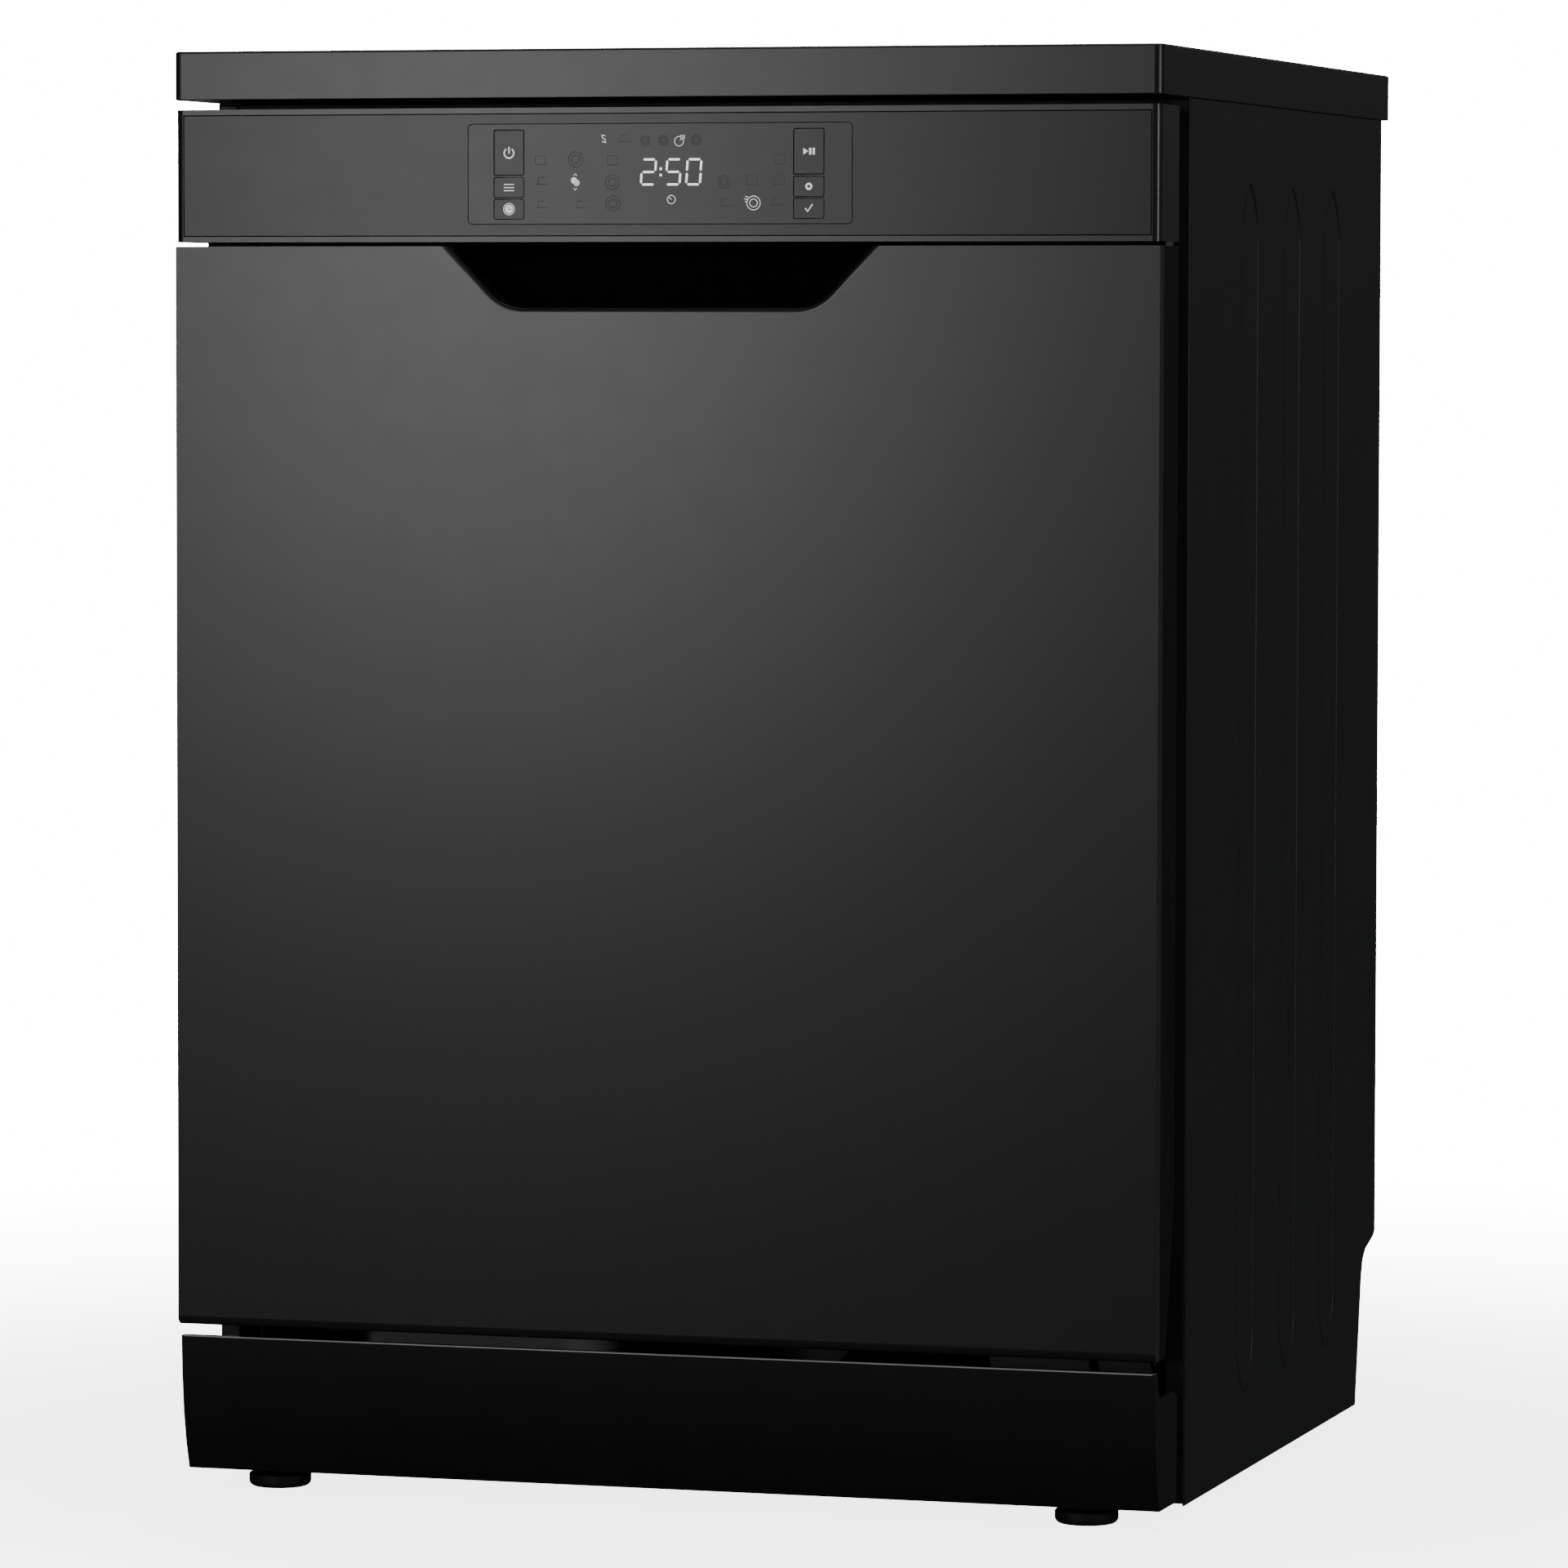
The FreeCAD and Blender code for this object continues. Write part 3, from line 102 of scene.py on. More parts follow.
def set_world():
    """White backdrop for the camera, soft grey fill for everything else."""
    world = bpy.data.worlds.new("studio")
    world.use_nodes = True
    tree = world.node_tree
    tree.nodes.clear()
    out = tree.nodes.new("ShaderNodeOutputWorld")
    mix = tree.nodes.new("ShaderNodeMixShader")
    path = tree.nodes.new("ShaderNodeLightPath")
    fill = tree.nodes.new("ShaderNodeBackground")
    backdrop = tree.nodes.new("ShaderNodeBackground")
    fill.inputs["Color"].default_value = (0.9, 0.95, 1.0, 1)
    fill.inputs["Strength"].default_value = 0.06
    backdrop.inputs["Color"].default_value = (1, 1, 1, 1)
    backdrop.inputs["Strength"].default_value = 20.0
    tree.links.new(path.outputs["Is Camera Ray"], mix.inputs[0])
    tree.links.new(fill.outputs[0], mix.inputs[1])
    tree.links.new(backdrop.outputs[0], mix.inputs[2])
    tree.links.new(mix.outputs[0], out.inputs["Surface"])
    bpy.context.scene.world = world


# ---- materials -----------------------------------------------------------------------
def ramp(tree, source, low, high):
    """Map a 0 to 1 value to the span low to high."""
    node = tree.nodes.new("ShaderNodeMapRange")
    node.inputs["From Min"].default_value = 0.25
    node.inputs["From Max"].default_value = 0.75
    node.inputs["To Min"].default_value = low
    node.inputs["To Max"].default_value = high
    tree.links.new(source, node.inputs["Value"])
    return node.outputs["Result"]


def noise(tree, scale, detail=4.0, stretch=(1, 1, 1)):
    """Noise over the piece's own coordinates, with cells of 1/scale metres."""
    coords = tree.nodes.new("ShaderNodeTexCoord")
    mapping = tree.nodes.new("ShaderNodeMapping")
    mapping.inputs["Scale"].default_value = stretch
    tree.links.new(coords.outputs["Object"], mapping.inputs["Vector"])
    node = tree.nodes.new("ShaderNodeTexNoise")
    node.inputs["Scale"].default_value = scale
    node.inputs["Detail"].default_value = detail
    tree.links.new(mapping.outputs["Vector"], node.inputs["Vector"])
    return node.outputs["Fac"]


def shade(colour, factor):
    return tuple(channel * factor for channel in colour[:3]) + (1.0,)


def finish(name, colour, rough, metal=0.0, ior=1.5, mottle=0.08, mottle_scale=30.0,
           grain=900.0, grain_depth=0.02, stretch=(1, 1, 1), coat=0.0, swing=0.1):
    """A surface with cloudy colour, uneven gloss and a fine grain in relief."""
    material = bpy.data.materials.new(name)
    material.use_nodes = True
    tree = material.node_tree
    shader = tree.nodes["Principled BSDF"]
    shader.inputs["Metallic"].default_value = metal
    shader.inputs["IOR"].default_value = ior
    shader.inputs["Coat Weight"].default_value = coat
    blend = tree.nodes.new("ShaderNodeMix")
    blend.data_type = "RGBA"
    blend.inputs["A"].default_value = shade(colour, 1 - mottle)
    blend.inputs["B"].default_value = shade(colour, 1 + mottle)
    tree.links.new(ramp(tree, noise(tree, mottle_scale), 0, 1), blend.inputs["Factor"])
    tree.links.new(blend.outputs["Result"], shader.inputs["Base Color"])
    uneven = noise(tree, mottle_scale * 2.3, stretch=stretch)
    tree.links.new(ramp(tree, uneven, rough * (1 - swing), rough * (1 + swing)), shader.inputs["Roughness"])
    bump = tree.nodes.new("ShaderNodeBump")
    bump.inputs["Strength"].default_value = grain_depth
    bump.inputs["Distance"].default_value = 0.0005
    tree.links.new(noise(tree, grain, 2.0, stretch), bump.inputs["Height"])
    tree.links.new(bump.outputs["Normal"], shader.inputs["Normal"])
    return material


def glowing(name, colour, strength):
    """Lit segments, a touch uneven as light guides are; the same glow on printed button symbols is painted
    light.
    """
    material = bpy.data.materials.new(name)
    material.use_nodes = True
    tree = material.node_tree
    shader = tree.nodes["Principled BSDF"]
    shader.inputs["Base Color"].default_value = shade(colour, 0.8)
    shader.inputs["Roughness"].default_value = 0.5
    shader.inputs["Emission Color"].default_value = shade(colour, 1.0)
    uneven = ramp(tree, noise(tree, 260.0), strength * 0.9, strength * 1.1)
    tree.links.new(uneven, shader.inputs["Emission Strength"])
    return material


def brushed(name, colour, rough, direction):
    """Metal with fine straight brush lines along one axis."""
    stretch = tuple(0.02 if axis == direction else 1.0 for axis in "xyz")
    return finish(name, colour, rough, metal=1.0, mottle=0.05, mottle_scale=420.0,
                  grain=1800.0, grain_depth=0.05, stretch=stretch)


BLACK = (0.0065, 0.0065, 0.0068)


def make_materials():
    m = {}
    front = {"ior": 1.40, "mottle": 0.03, "swing": 0.02}
    top = {"ior": 1.38, "mottle": 0.03, "swing": 0.02}
    panel = {"ior": 1.33, "mottle": 0.03, "swing": 0.02}
    m["worktop_black"] = finish("worktop_laminate", BLACK, 0.305, grain=1400, grain_depth=0.05, **top)
    m["door_black"] = finish("door_enamel", BLACK, 0.305, grain=2200, grain_depth=0.03, **front)
    # Darker, duller copy of the door enamel for the folded sides of the door: painted shade.
    m["return_shaded_black"] = finish("door_return_shaded_enamel", shade(BLACK, 0.6), 0.45, ior=1.16, grain=1500,
                               grain_depth=0.05)
    m["black_enamel"] = finish("side_enamel", shade(BLACK, 1.1), 0.42, ior=1.28, grain=1500,
                               grain_depth=0.04, swing=0.03)
    m["kick_black"] = finish("kick_moulding", shade(BLACK, 0.6), 0.45, ior=1.26, grain=1500, grain_depth=0.06)
    # Light grey for the bead along the kickplate's top edge: a painted highlight.
    m["kick_painted_highlight"] = finish("kick_painted_highlight", (0.22, 0.22, 0.225), 0.35, mottle=0.15, mottle_scale=60, grain=1500)
    m["console_black"] = finish("console_moulding", BLACK, 0.305, grain=2400, grain_depth=0.04, **front)
    m["fascia_black"] = finish("fascia_film", BLACK, 0.30, grain=2400, grain_depth=0.03, **panel)
    m["display_black"] = finish("display_window", BLACK, 0.295, grain=3000, grain_depth=0.01, **panel)
    m["button_black"] = finish("button_moulding", shade(BLACK, 0.8), 0.31, ior=1.34, mottle=0.03, grain=3000,
                               grain_depth=0.03, swing=0.02)
    # Near-black and barely reflecting: painted shade, deeper than the cup's black plastic, used in the finger
    # cup, the fascia groove and the side panel rib grooves.
    m["painted_shade_black"] = finish("finger_cup_painted_shade", (0.0012, 0.0012, 0.0013), 0.65, ior=1.1, grain=1500)
    m["stainless"] = brushed("tub_steel", (0.56, 0.56, 0.57), 0.27, "z")
    m["zinc_steel"] = finish("zinc_plate", (0.42, 0.43, 0.45), 0.42, metal=1.0, mottle=0.22, mottle_scale=90)
    m["tray_black"] = finish("tray_moulding", (0.006, 0.006, 0.0064), 0.55, ior=1.3, mottle=0.1,
                             grain=1100, grain_depth=0.12)
    m["grey_plastic"] = finish("grey_moulding", (0.19, 0.21, 0.23), 0.42, grain=1600, grain_depth=0.06)
    m["light_plastic"] = finish("light_moulding", (0.62, 0.63, 0.61), 0.40, grain=1600, grain_depth=0.06)
    m["rack_coat"] = finish("nylon_coat", (0.16, 0.18, 0.21), 0.33, mottle=0.1, grain=700,
                            grain_depth=0.10, coat=0.2)
    m["seal_rubber"] = finish("seal_rubber", (0.016, 0.016, 0.017), 0.62, grain=900, grain_depth=0.12)
    m["felt"] = finish("pressed_felt", (0.05, 0.05, 0.055), 0.95, mottle=0.5, mottle_scale=240, grain=700,
                       grain_depth=0.9)
    m["blue_cap"] = finish("blue_moulding", (0.03, 0.10, 0.36), 0.38, grain=1500, grain_depth=0.05)
    m["board_green"] = finish("solder_mask", (0.012, 0.10, 0.04), 0.30, mottle=0.35, mottle_scale=300)
    m["clear_tank"] = finish("tank_moulding", (0.62, 0.66, 0.66), 0.25, mottle=0.05)
    # The steel's colour is held dark so the springs in the gap under the door look shaded: painted shade.
    m["spring_steel"] = finish("spring_steel", (0.14, 0.14, 0.145), 0.30, metal=1.0, mottle=0.1,
                               mottle_scale=200)
    # Glowing white for the backlit display icons and for the printed button symbols; on the buttons the glow
    # is painted light.
    m["backlit_and_painted_glow_white"] = glowing("backlit_and_painted_glow_white", (0.9, 0.93, 0.95), 0.55)
    m["segment_white"] = glowing("segment_white", (0.95, 0.98, 1.0), 1.1)
    m["ghost_print"] = finish("ghost_print", (0.030, 0.030, 0.032), 0.5, grain=2000)
    m["outline_black"] = finish("outline_black", (0.0010, 0.0010, 0.0010), 0.6, ior=1.1)
    return m


MATERIALS = make_materials()


# ---- mesh helpers --------------------------------------------------------------------
def add_piece(name, mesh, material, body, stands_for=()):
    """Put a mesh or curve in the scene as a piece of the object."""
    piece = bpy.data.objects.new(name, mesh)
    bpy.context.scene.collection.objects.link(piece)
    piece.data.materials.clear()
    piece.data.materials.append(MATERIALS[material])
    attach(piece, body)
    if stands_for:
        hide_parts(*stands_for)
    return piece


def apply_modifiers(piece):
    """Bake a piece's modifiers into its mesh."""
    bpy.context.view_layer.update()
    evaluated = piece.evaluated_get(bpy.context.evaluated_depsgraph_get())
    mesh = bpy.data.meshes.new_from_object(evaluated)
    old = piece.data
    piece.modifiers.clear()
    piece.data = mesh
    if old.users == 0:
        bpy.data.meshes.remove(old)


def smooth_by_angle(mesh, degrees=35.0):
    """Smooth shading, with edges sharper than the angle kept crisp."""
    build = bmesh.new()
    build.from_mesh(mesh)
    limit = math.radians(degrees)
    for face in build.faces:
        face.smooth = True
    for edge in build.edges:
        edge.smooth = len(edge.link_faces) == 2 and edge.calc_face_angle(0.0) < limit
    build.to_mesh(mesh)
    build.free()


def tidy_copy(node):
    """A welded copy of a CAD node's mesh, with its flat faces whole again."""
    mesh = NODES[node].data.copy()
    build = bmesh.new()
    build.from_mesh(mesh)
    bmesh.ops.remove_doubles(build, verts=build.verts, dist=2e-6)
    bmesh.ops.dissolve_limit(build, angle_limit=math.radians(0.6), verts=build.verts,
                             edges=build.edges, use_dissolve_boundaries=False)
    build.to_mesh(mesh)
    build.free()
    return mesh


def soften(node, radius, material=None, steps=3, angle=40.0):
    """Replace a CAD node by a copy whose sharp edges are rounded."""
    piece = add_piece(node + "_finished", tidy_copy(node), material or SLOT_OF[node],
                      BODY_OF[node], (node,))
    bevel = piece.modifiers.new("rounding", "BEVEL")
    bevel.width = radius
    bevel.segments = steps
    bevel.limit_method = "ANGLE"
    bevel.angle_limit = math.radians(angle)
    bevel.use_clamp_overlap = True
    bevel.miter_outer = "MITER_ARC"
    apply_modifiers(piece)
    smooth_by_angle(piece.data, 50.0)
    return piece


def block_mesh(name, low, high):
    """Axis-aligned block between two corners."""
    mesh = bpy.data.meshes.new(name)
    build = bmesh.new()
    bmesh.ops.create_cube(build, size=1.0)
    size = Vector(high) - Vector(low)
    middle = (Vector(high) + Vector(low)) / 2
    for vert in build.verts:
        vert.co = Vector((vert.co.x * size.x, vert.co.y * size.y, vert.co.z * size.z)) + middle
    build.to_mesh(mesh)
    build.free()
    return mesh


def prism_mesh(name, outline, axis, start, end):
    """Closed prism: an outline in the two other axes, drawn out from start to end."""
    def place(a, b, along):
        return {"x": (along, a, b), "y": (a, along, b), "z": (a, b, along)}[axis]
    count = len(outline)
    verts = [place(a, b, start) for a, b in outline] + [place(a, b, end) for a, b in outline]
    faces = [tuple(range(count)), tuple(range(2 * count - 1, count - 1, -1))]
    faces += [(k, k + count, (k + 1) % count + count, (k + 1) % count) for k in range(count)]
    mesh = bpy.data.meshes.new(name)
    mesh.from_pydata(verts, [], faces)
    build = bmesh.new()
    build.from_mesh(mesh)
    bmesh.ops.recalc_face_normals(build, faces=build.faces)
    build.to_mesh(mesh)
    build.free()
    return mesh


def cut_with(piece, cutter_mesh):
    """Subtract a mesh from a piece."""
    cutter = bpy.data.objects.new("cutter", cutter_mesh)
    bpy.context.scene.collection.objects.link(cutter)
    modifier = piece.modifiers.new("cut", "BOOLEAN")
    modifier.operation = "DIFFERENCE"
    modifier.solver = "EXACT"
    modifier.object = cutter
    apply_modifiers(piece)
    bpy.data.objects.remove(cutter)
    bpy.data.meshes.remove(cutter_mesh)


def bevel_edges(mesh, test, radius, steps):
    """Round the edges for which test(start, end, face angle) is true."""
    build = bmesh.new()
    build.from_mesh(mesh)
    bmesh.ops.remove_doubles(build, verts=build.verts, dist=1e-6)
    chosen = [edge for edge in build.edges
              if len(edge.link_faces) == 2
              and test(edge.verts[0].co, edge.verts[1].co, edge.calc_face_angle(0.0))]
    bmesh.ops.bevel(build, geom=chosen, offset=radius, segments=steps, profile=0.5,
                    affect="EDGES", clamp_overlap=True)
    build.to_mesh(mesh)
    build.free()


def rounded_path(points, radius, closed=False, steps=5):
    """A path through corner points, each corner turned on an arc."""
    points = [Vector(p) for p in points]
    count = len(points)
    path = []
    for k, corner in enumerate(points):
        if not closed and k in (0, count - 1):
            path.append(corner)
            continue
        before = points[k - 1] - corner
        after = points[(k + 1) % count] - corner
        reach = min(radius, before.length * 0.45, after.length * 0.45)
        a = corner + before.normalized() * reach
        b = corner + after.normalized() * reach
        for step in range(steps + 1):
            t = step / steps
            path.append(a.lerp(corner, t).lerp(corner.lerp(b, t), t))
    return path


def wire_curve(name, paths, radius, closed=False, sides=3):
    """Round wires along paths, as one curve."""
    curve = bpy.data.curves.new(name, "CURVE")
    curve.dimensions = "3D"
    curve.bevel_depth = radius
    curve.bevel_resolution = sides
    curve.use_fill_caps = True
    for path in paths:
        spline = curve.splines.new("POLY")
        spline.points.add(len(path) - 1)
        for point, place in zip(spline.points, path):
            point.co = (*place, 1.0)
        spline.use_cyclic_u = closed
        spline.use_smooth = True
    return curve


def wire_mesh(name, groups):
    """One mesh from several groups of (paths, radius, closed) round wires."""
    whole = bmesh.new()
    for paths, radius, closed in groups:
        curve = wire_curve(name, paths, radius, closed)
        holder = bpy.data.objects.new(name, curve)
        bpy.context.scene.collection.objects.link(holder)
        bpy.context.view_layer.update()
        part = bpy.data.meshes.new_from_object(holder.evaluated_get(bpy.context.evaluated_depsgraph_get()))
        whole.from_mesh(part)
        bpy.data.objects.remove(holder)
        bpy.data.curves.remove(curve)
        bpy.data.meshes.remove(part)
    mesh = bpy.data.meshes.new(name)
    whole.to_mesh(mesh)
    whole.free()
    return mesh


def keep_flat(piece):
    """Shading that follows the large flat faces, so that rounded edges do not tint them."""
    modifier = piece.modifiers.new("flat_shading", "WEIGHTED_NORMAL")
    modifier.keep_sharp = True
    modifier.mode = "FACE_AREA"
    modifier.weight = 100
    apply_modifiers(piece)


# ---- door panel ----------------------------------------------------------------------
DOOR_LOW, DOOR_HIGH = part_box("door_outer_panel")
FACE_Y = DOOR_LOW[1]
DOOR_TOP = DOOR_HIGH[2]
DOOR_X = DOOR_HIGH[0]
SLAB_T = 0.009
RECESS_HALF = 0.126
RECESS_CORNER = (0.0938, -0.034)
SPRING_X = 0.2715              # balance springs, and the slots they pass through in the door


def recess_path():
    """The finger recess from its left top corner round to the right one, in X and Z."""
    x, drop = RECESS_CORNER
    corners = [(-RECESS_HALF, 0, DOOR_TOP), (-x, 0, DOOR_TOP + drop),
               (x, 0, DOOR_TOP + drop), (RECESS_HALF, 0, DOOR_TOP)]
    return [(p.x, p.z) for p in rounded_path(corners, 0.012, steps=10)]


def make_door_skin():
    low = DOOR_LOW[2]
    outline = [(-DOOR_X, low), (DOOR_X, low), (DOOR_X, DOOR_TOP)]
    outline += list(reversed(recess_path())) + [(-DOOR_X, DOOR_TOP)]
    mesh = prism_mesh("door_skin", outline, "y", FACE_Y, FACE_Y + SLAB_T)

    def in_front(a, b):
        return max(a.y, b.y) < FACE_Y + 1e-5

    def in_recess(a, b):
        middle = (a + b) / 2
        return abs(middle.x) < RECESS_HALF and middle.z < DOOR_TOP - 1e-4

    def recess_edge(a, b, angle):
        return in_front(a, b) and in_recess(a, b) and (a + b).z / 2 > low + 0.1

    def low_edge(a, b, angle):
        return in_front(a, b) and max(a.z, b.z) < low + 1e-5

    def upright_edge(a, b, angle):
        return in_front(a, b) and min(abs(a.x), abs(b.x)) > DOOR_X - 1e-5 and abs(a.z - b.z) > 0.3

    def rim_edge(a, b, angle):
        return in_front(a, b) and not in_recess(a, b) and min(a.z, b.z) > low - 1e-5 and angle > 1.2

    bevel_edges(mesh, recess_edge, 0.0048, 5)
    bevel_edges(mesh, low_edge, 0.0055, 5)
    bevel_edges(mesh, upright_edge, 0.005, 8)
    bevel_edges(mesh, rim_edge, 0.0012, 4)
    skin = add_piece("door_skin", mesh, "door_black", "door", ("door_outer_panel",))
    smooth_by_angle(mesh, 50.0)
    keep_flat(skin)


def make_door_returns():
    """Folded sides and bottom of the door panel behind its front."""
    back, start = DOOR_HIGH[1], FACE_Y + SLAB_T
    low = DOOR_LOW[2]
    side = [(start, low + 0.0005), (-0.276, low + 0.0005), (back, 0.190), (back, DOOR_TOP),
            (start, DOOR_TOP)]
    sides = (("right", DOOR_X - 0.001, DOOR_X - 0.0001), ("left", 0.0001 - DOOR_X, 0.001 - DOOR_X))
    for name, x0, x1 in sides:
        mesh = prism_mesh("door_return_" + name, side, "x", x0, x1)
        # The door's folded sides take the darker copy of its enamel: painted shade.
        add_piece("door_return_" + name, mesh, "return_shaded_black", "door", ("door_outer_panel",))
    mesh = block_mesh("door_return_bottom", (0.001 - DOOR_X, start, low + 0.0002),
                      (DOOR_X - 0.001, -0.277, low + 0.0012))
    bottom = add_piece("door_return_bottom", mesh, "return_shaded_black", "door",
                       ("door_outer_panel",))
    for x in (-SPRING_X, SPRING_X):
        cut_with(bottom, block_mesh("slot", (x - 0.005, start - 0.001, low - 0.01),
                                    (x + 0.005, -0.27, low + 0.01)))


# ---- side panels ---------------------------------------------------------------------
RIB_CENTRES = (-0.079, 0.0315, 0.140)
RIB_HALF = 0.0215
RIB_POINT = 0.037
RIB_LOW = 0.053
RIB_HIGH = 0.774
RIB_DEPTH = 0.0013
RIB_GROOVE = ((0.0014, 0.0), (0.0008, 0.08), (0.0004, 0.45), (0.0, 0.95), (-0.0005, 1.0), (-0.0009, 0.7),
              (-0.0013, 0.3), (-0.0020, 0.2))      # growth of the outline, share of the depth
RIB_STEPS = 10
SIDE_X = 0.298
SIDE_OUTLINE = [(-0.228, 0.0065), (0.226, 0.0065), (0.242, 0.088), (0.246, 0.097), (0.254, 0.103),
                (0.277, 0.109), (0.281, 0.112), (0.281, 0.8214), (-0.228, 0.8214)]


def rib_ring(centre, grow):
    """Outline of a pressed rib, pointed at both ends, drawn out by grow, in Y and Z."""
    half, point = RIB_HALF + grow, RIB_POINT + grow
    radius = (half ** 2 + point ** 2) / (2 * half)
    turn = math.asin(point / radius)
    low, high = RIB_LOW + RIB_POINT, RIB_HIGH - RIB_POINT
    side = []
    for k in range(RIB_STEPS + 1):
        t = turn * k / RIB_STEPS
        side.append((half - radius * (1 - math.cos(t)), radius * math.sin(t)))
    ring = [(centre + y, high + z) for y, z in side]
    ring += [(centre - y, high + z) for y, z in reversed(side[:-1])]
    ring += [(centre - y, low - z) for y, z in side]
    ring += [(centre + y, low - z) for y, z in reversed(side[:-1])]
    return ring


def inset(outline, distance):
    """A convex outline, given anticlockwise, drawn in by a distance."""
    points = []
    count = len(outline)
    for k in range(count):
        here = Vector(outline[k])
        before = (here - Vector(outline[k - 1])).normalized()
        after = (Vector(outline[(k + 1) % count]) - here).normalized()
        inward = Vector((-before.y - after.y, before.x + after.x)).normalized()
        lean = max(0.4, inward.dot(Vector((-after.y, after.x))))
        points.append(tuple(here + inward * distance / lean))
    return points


def bridge(build, ring_a, ring_b, finish_index=0):
    count = len(ring_a)
    for k in range(count):
        face = build.faces.new((ring_a[k], ring_a[(k + 1) % count], ring_b[(k + 1) % count], ring_b[k]))
        face.material_index = finish_index


def pressed_sheet(build, x, out):
    """One surface of the side panel: flat, folded at the edge, with the ribs pressed in."""
    def ring(points, at):
        return [build.verts.new((at, y, z)) for y, z in points]

    edge = [ring(inset(SIDE_OUTLINE, d), x - out * drop)
            for d, drop in ((0.0, 0.0011), (0.0003, 0.0003), (0.0011, 0.0))]
    for a, b in zip(edge, edge[1:]):
        bridge(build, a, b)
    borders = [edge[-1]]
    for centre in RIB_CENTRES:
        rings = []
        for grow, sink in RIB_GROOVE:
            rings.append(ring(rib_ring(centre, grow), x - out * sink * RIB_DEPTH))
        for k, (a, b) in enumerate(zip(rings, rings[1:])):
            # The walls at the bottom of each rib groove take the near-black second finish: painted shade.
            bridge(build, a, b, 1 if k in (1, 2, 3) else 0)
        build.faces.new(rings[-1])
        borders.append(rings[0])
    edges = []
    for border in borders:
        for a, b in zip(border, border[1:] + border[:1]):
            edges.append(build.edges.get((a, b)) or build.edges.new((a, b)))
    bmesh.ops.triangle_fill(build, use_beauty=True, use_dissolve=False, edges=edges)
    return edge[0]


def make_side_panel(name, sign):
    build = bmesh.new()
    outer = pressed_sheet(build, sign * SIDE_X, sign)
    inner = pressed_sheet(build, sign * (SIDE_X - 0.001), sign)
    for vert in inner:
        vert.co.x = outer[0].co.x - sign * 0.0002
    bridge(build, outer, inner)
    bmesh.ops.recalc_face_normals(build, faces=build.faces)
    mesh = bpy.data.meshes.new(name)
    build.to_mesh(mesh)
    build.free()
    piece = add_piece(name + "_pressed", mesh, "black_enamel", "cabinet", (name,))
    # Second finish, near-black, for the rib grooves: painted shade.
    mesh.materials.append(MATERIALS["painted_shade_black"])
    smooth_by_angle(mesh, 60.0)
    keep_flat(piece)
    flanges = (("front", 0.012, (-0.228, -0.2268), (0.008, 0.820)),
               ("rear", 0.018, (0.2798, 0.281), (0.114, 0.820)),
               ("top", 0.014, (-0.226, 0.279), (0.8204, 0.8214)))
    for part, reach, (y0, y1), (z0, z1) in flanges:
        x0, x1 = sorted((sign * (SIDE_X - reach), sign * (SIDE_X - 0.0012)))
        mesh = block_mesh(name + part, (x0, y0, z0), (x1, y1, z1))
        bevel_edges(mesh, lambda a, b, angle: angle > 1.0, 0.0003, 2)
        add_piece(name + "_" + part + "_flange", mesh, "black_enamel", "cabinet", (name,))


# ---- racks ---------------------------------------------------------------------------
WIRE_R = 0.0022
WIRE_D = 2 * WIRE_R
RACK_FRONT = -0.222
RACK_BACK = 0.242
LOWER = {"half": 0.250, "floor": 0.204, "rim": 0.322}
UPPER = {"half": 0.258, "floor": 0.514, "rim": 0.634}
TINE_ENDS = (-0.170, 0.190)      # first and last tine of the lower rows, in Y
TINES = 12
AXLE_Z = 0.1733


def spread(low, high, count):
    return [low + (high - low) * k / (count - 1) for k in range(count)]


def basket_groups(half, floor, rim, middle):
    """Bent wires of an open basket: columns, rows and closed rims."""
    front, back = RACK_FRONT + WIRE_R, RACK_BACK - WIRE_R
    side = half - WIRE_R
    wires = []
    for x in spread(-half + WIRE_D + 0.030, half - WIRE_D - 0.030, 9):
        corners = [(x, front, rim + 0.0015), (x, front, floor - WIRE_D), (x, back, floor - WIRE_D),
                   (x, back, rim + 0.0015)]
        wires.append(rounded_path(corners, 0.010))
    for y in spread(RACK_FRONT + WIRE_D + 0.045, RACK_BACK - WIRE_D - 0.045, 7):
        corners = [(-side, y, rim - 0.001), (-side, y, floor), (side, y, floor), (side, y, rim - 0.001)]
        wires.append(rounded_path(corners, 0.010))
    loops = []
    x, y0, y1 = side - WIRE_D, front + WIRE_D, back - WIRE_D
    for z in (floor + WIRE_D, middle, rim - 0.0008):
        corners = [(-x, y0, z), (x, y0, z), (x, y1, z), (-x, y1, z)]
        loops.append(rounded_path(corners, 0.016, closed=True, steps=6))
    return [(wires, WIRE_R, False), (loops, WIRE_R, True)]


def tine_paths(x, z, height, ys, tail=0.008):
    paths = [[Vector((x, ys[0] - tail, z)), Vector((x, ys[-1] + tail, z))]]
    for y in ys:
        paths.append([Vector((x, y, z)), Vector((x, y, z + height * 0.5)), Vector((x, y, z + height))])
    return paths


def rounded_block(name, low, high, axis, corner, edge, steps=3):
    """Moulded block: corners rounded about one axis, then every edge eased."""
    mesh = block_mesh(name, low, high)
    index = "xyz".index(axis)

    def lies_along(a, b, angle):
        return abs((a - b).normalized()[index]) > 0.99

    bevel_edges(mesh, lies_along, corner, 5)
    bevel_edges(mesh, lambda a, b, angle: angle > 1.0, edge, steps)
    smooth_by_angle(mesh, 50.0)
    return mesh


def add_block(name, low, high, axis, corner, edge, material, body, stands_for=()):
    mesh = rounded_block(name, low, high, axis, corner, edge)
    piece = add_piece(name, mesh, material, body, stands_for)
    keep_flat(piece)
    return piece


def add_wires(name, groups, material, body):
    """Wires or pins that belong to the node of the body that they ride on."""
    add_piece(name, wire_mesh(name, groups), material, body, (body,))


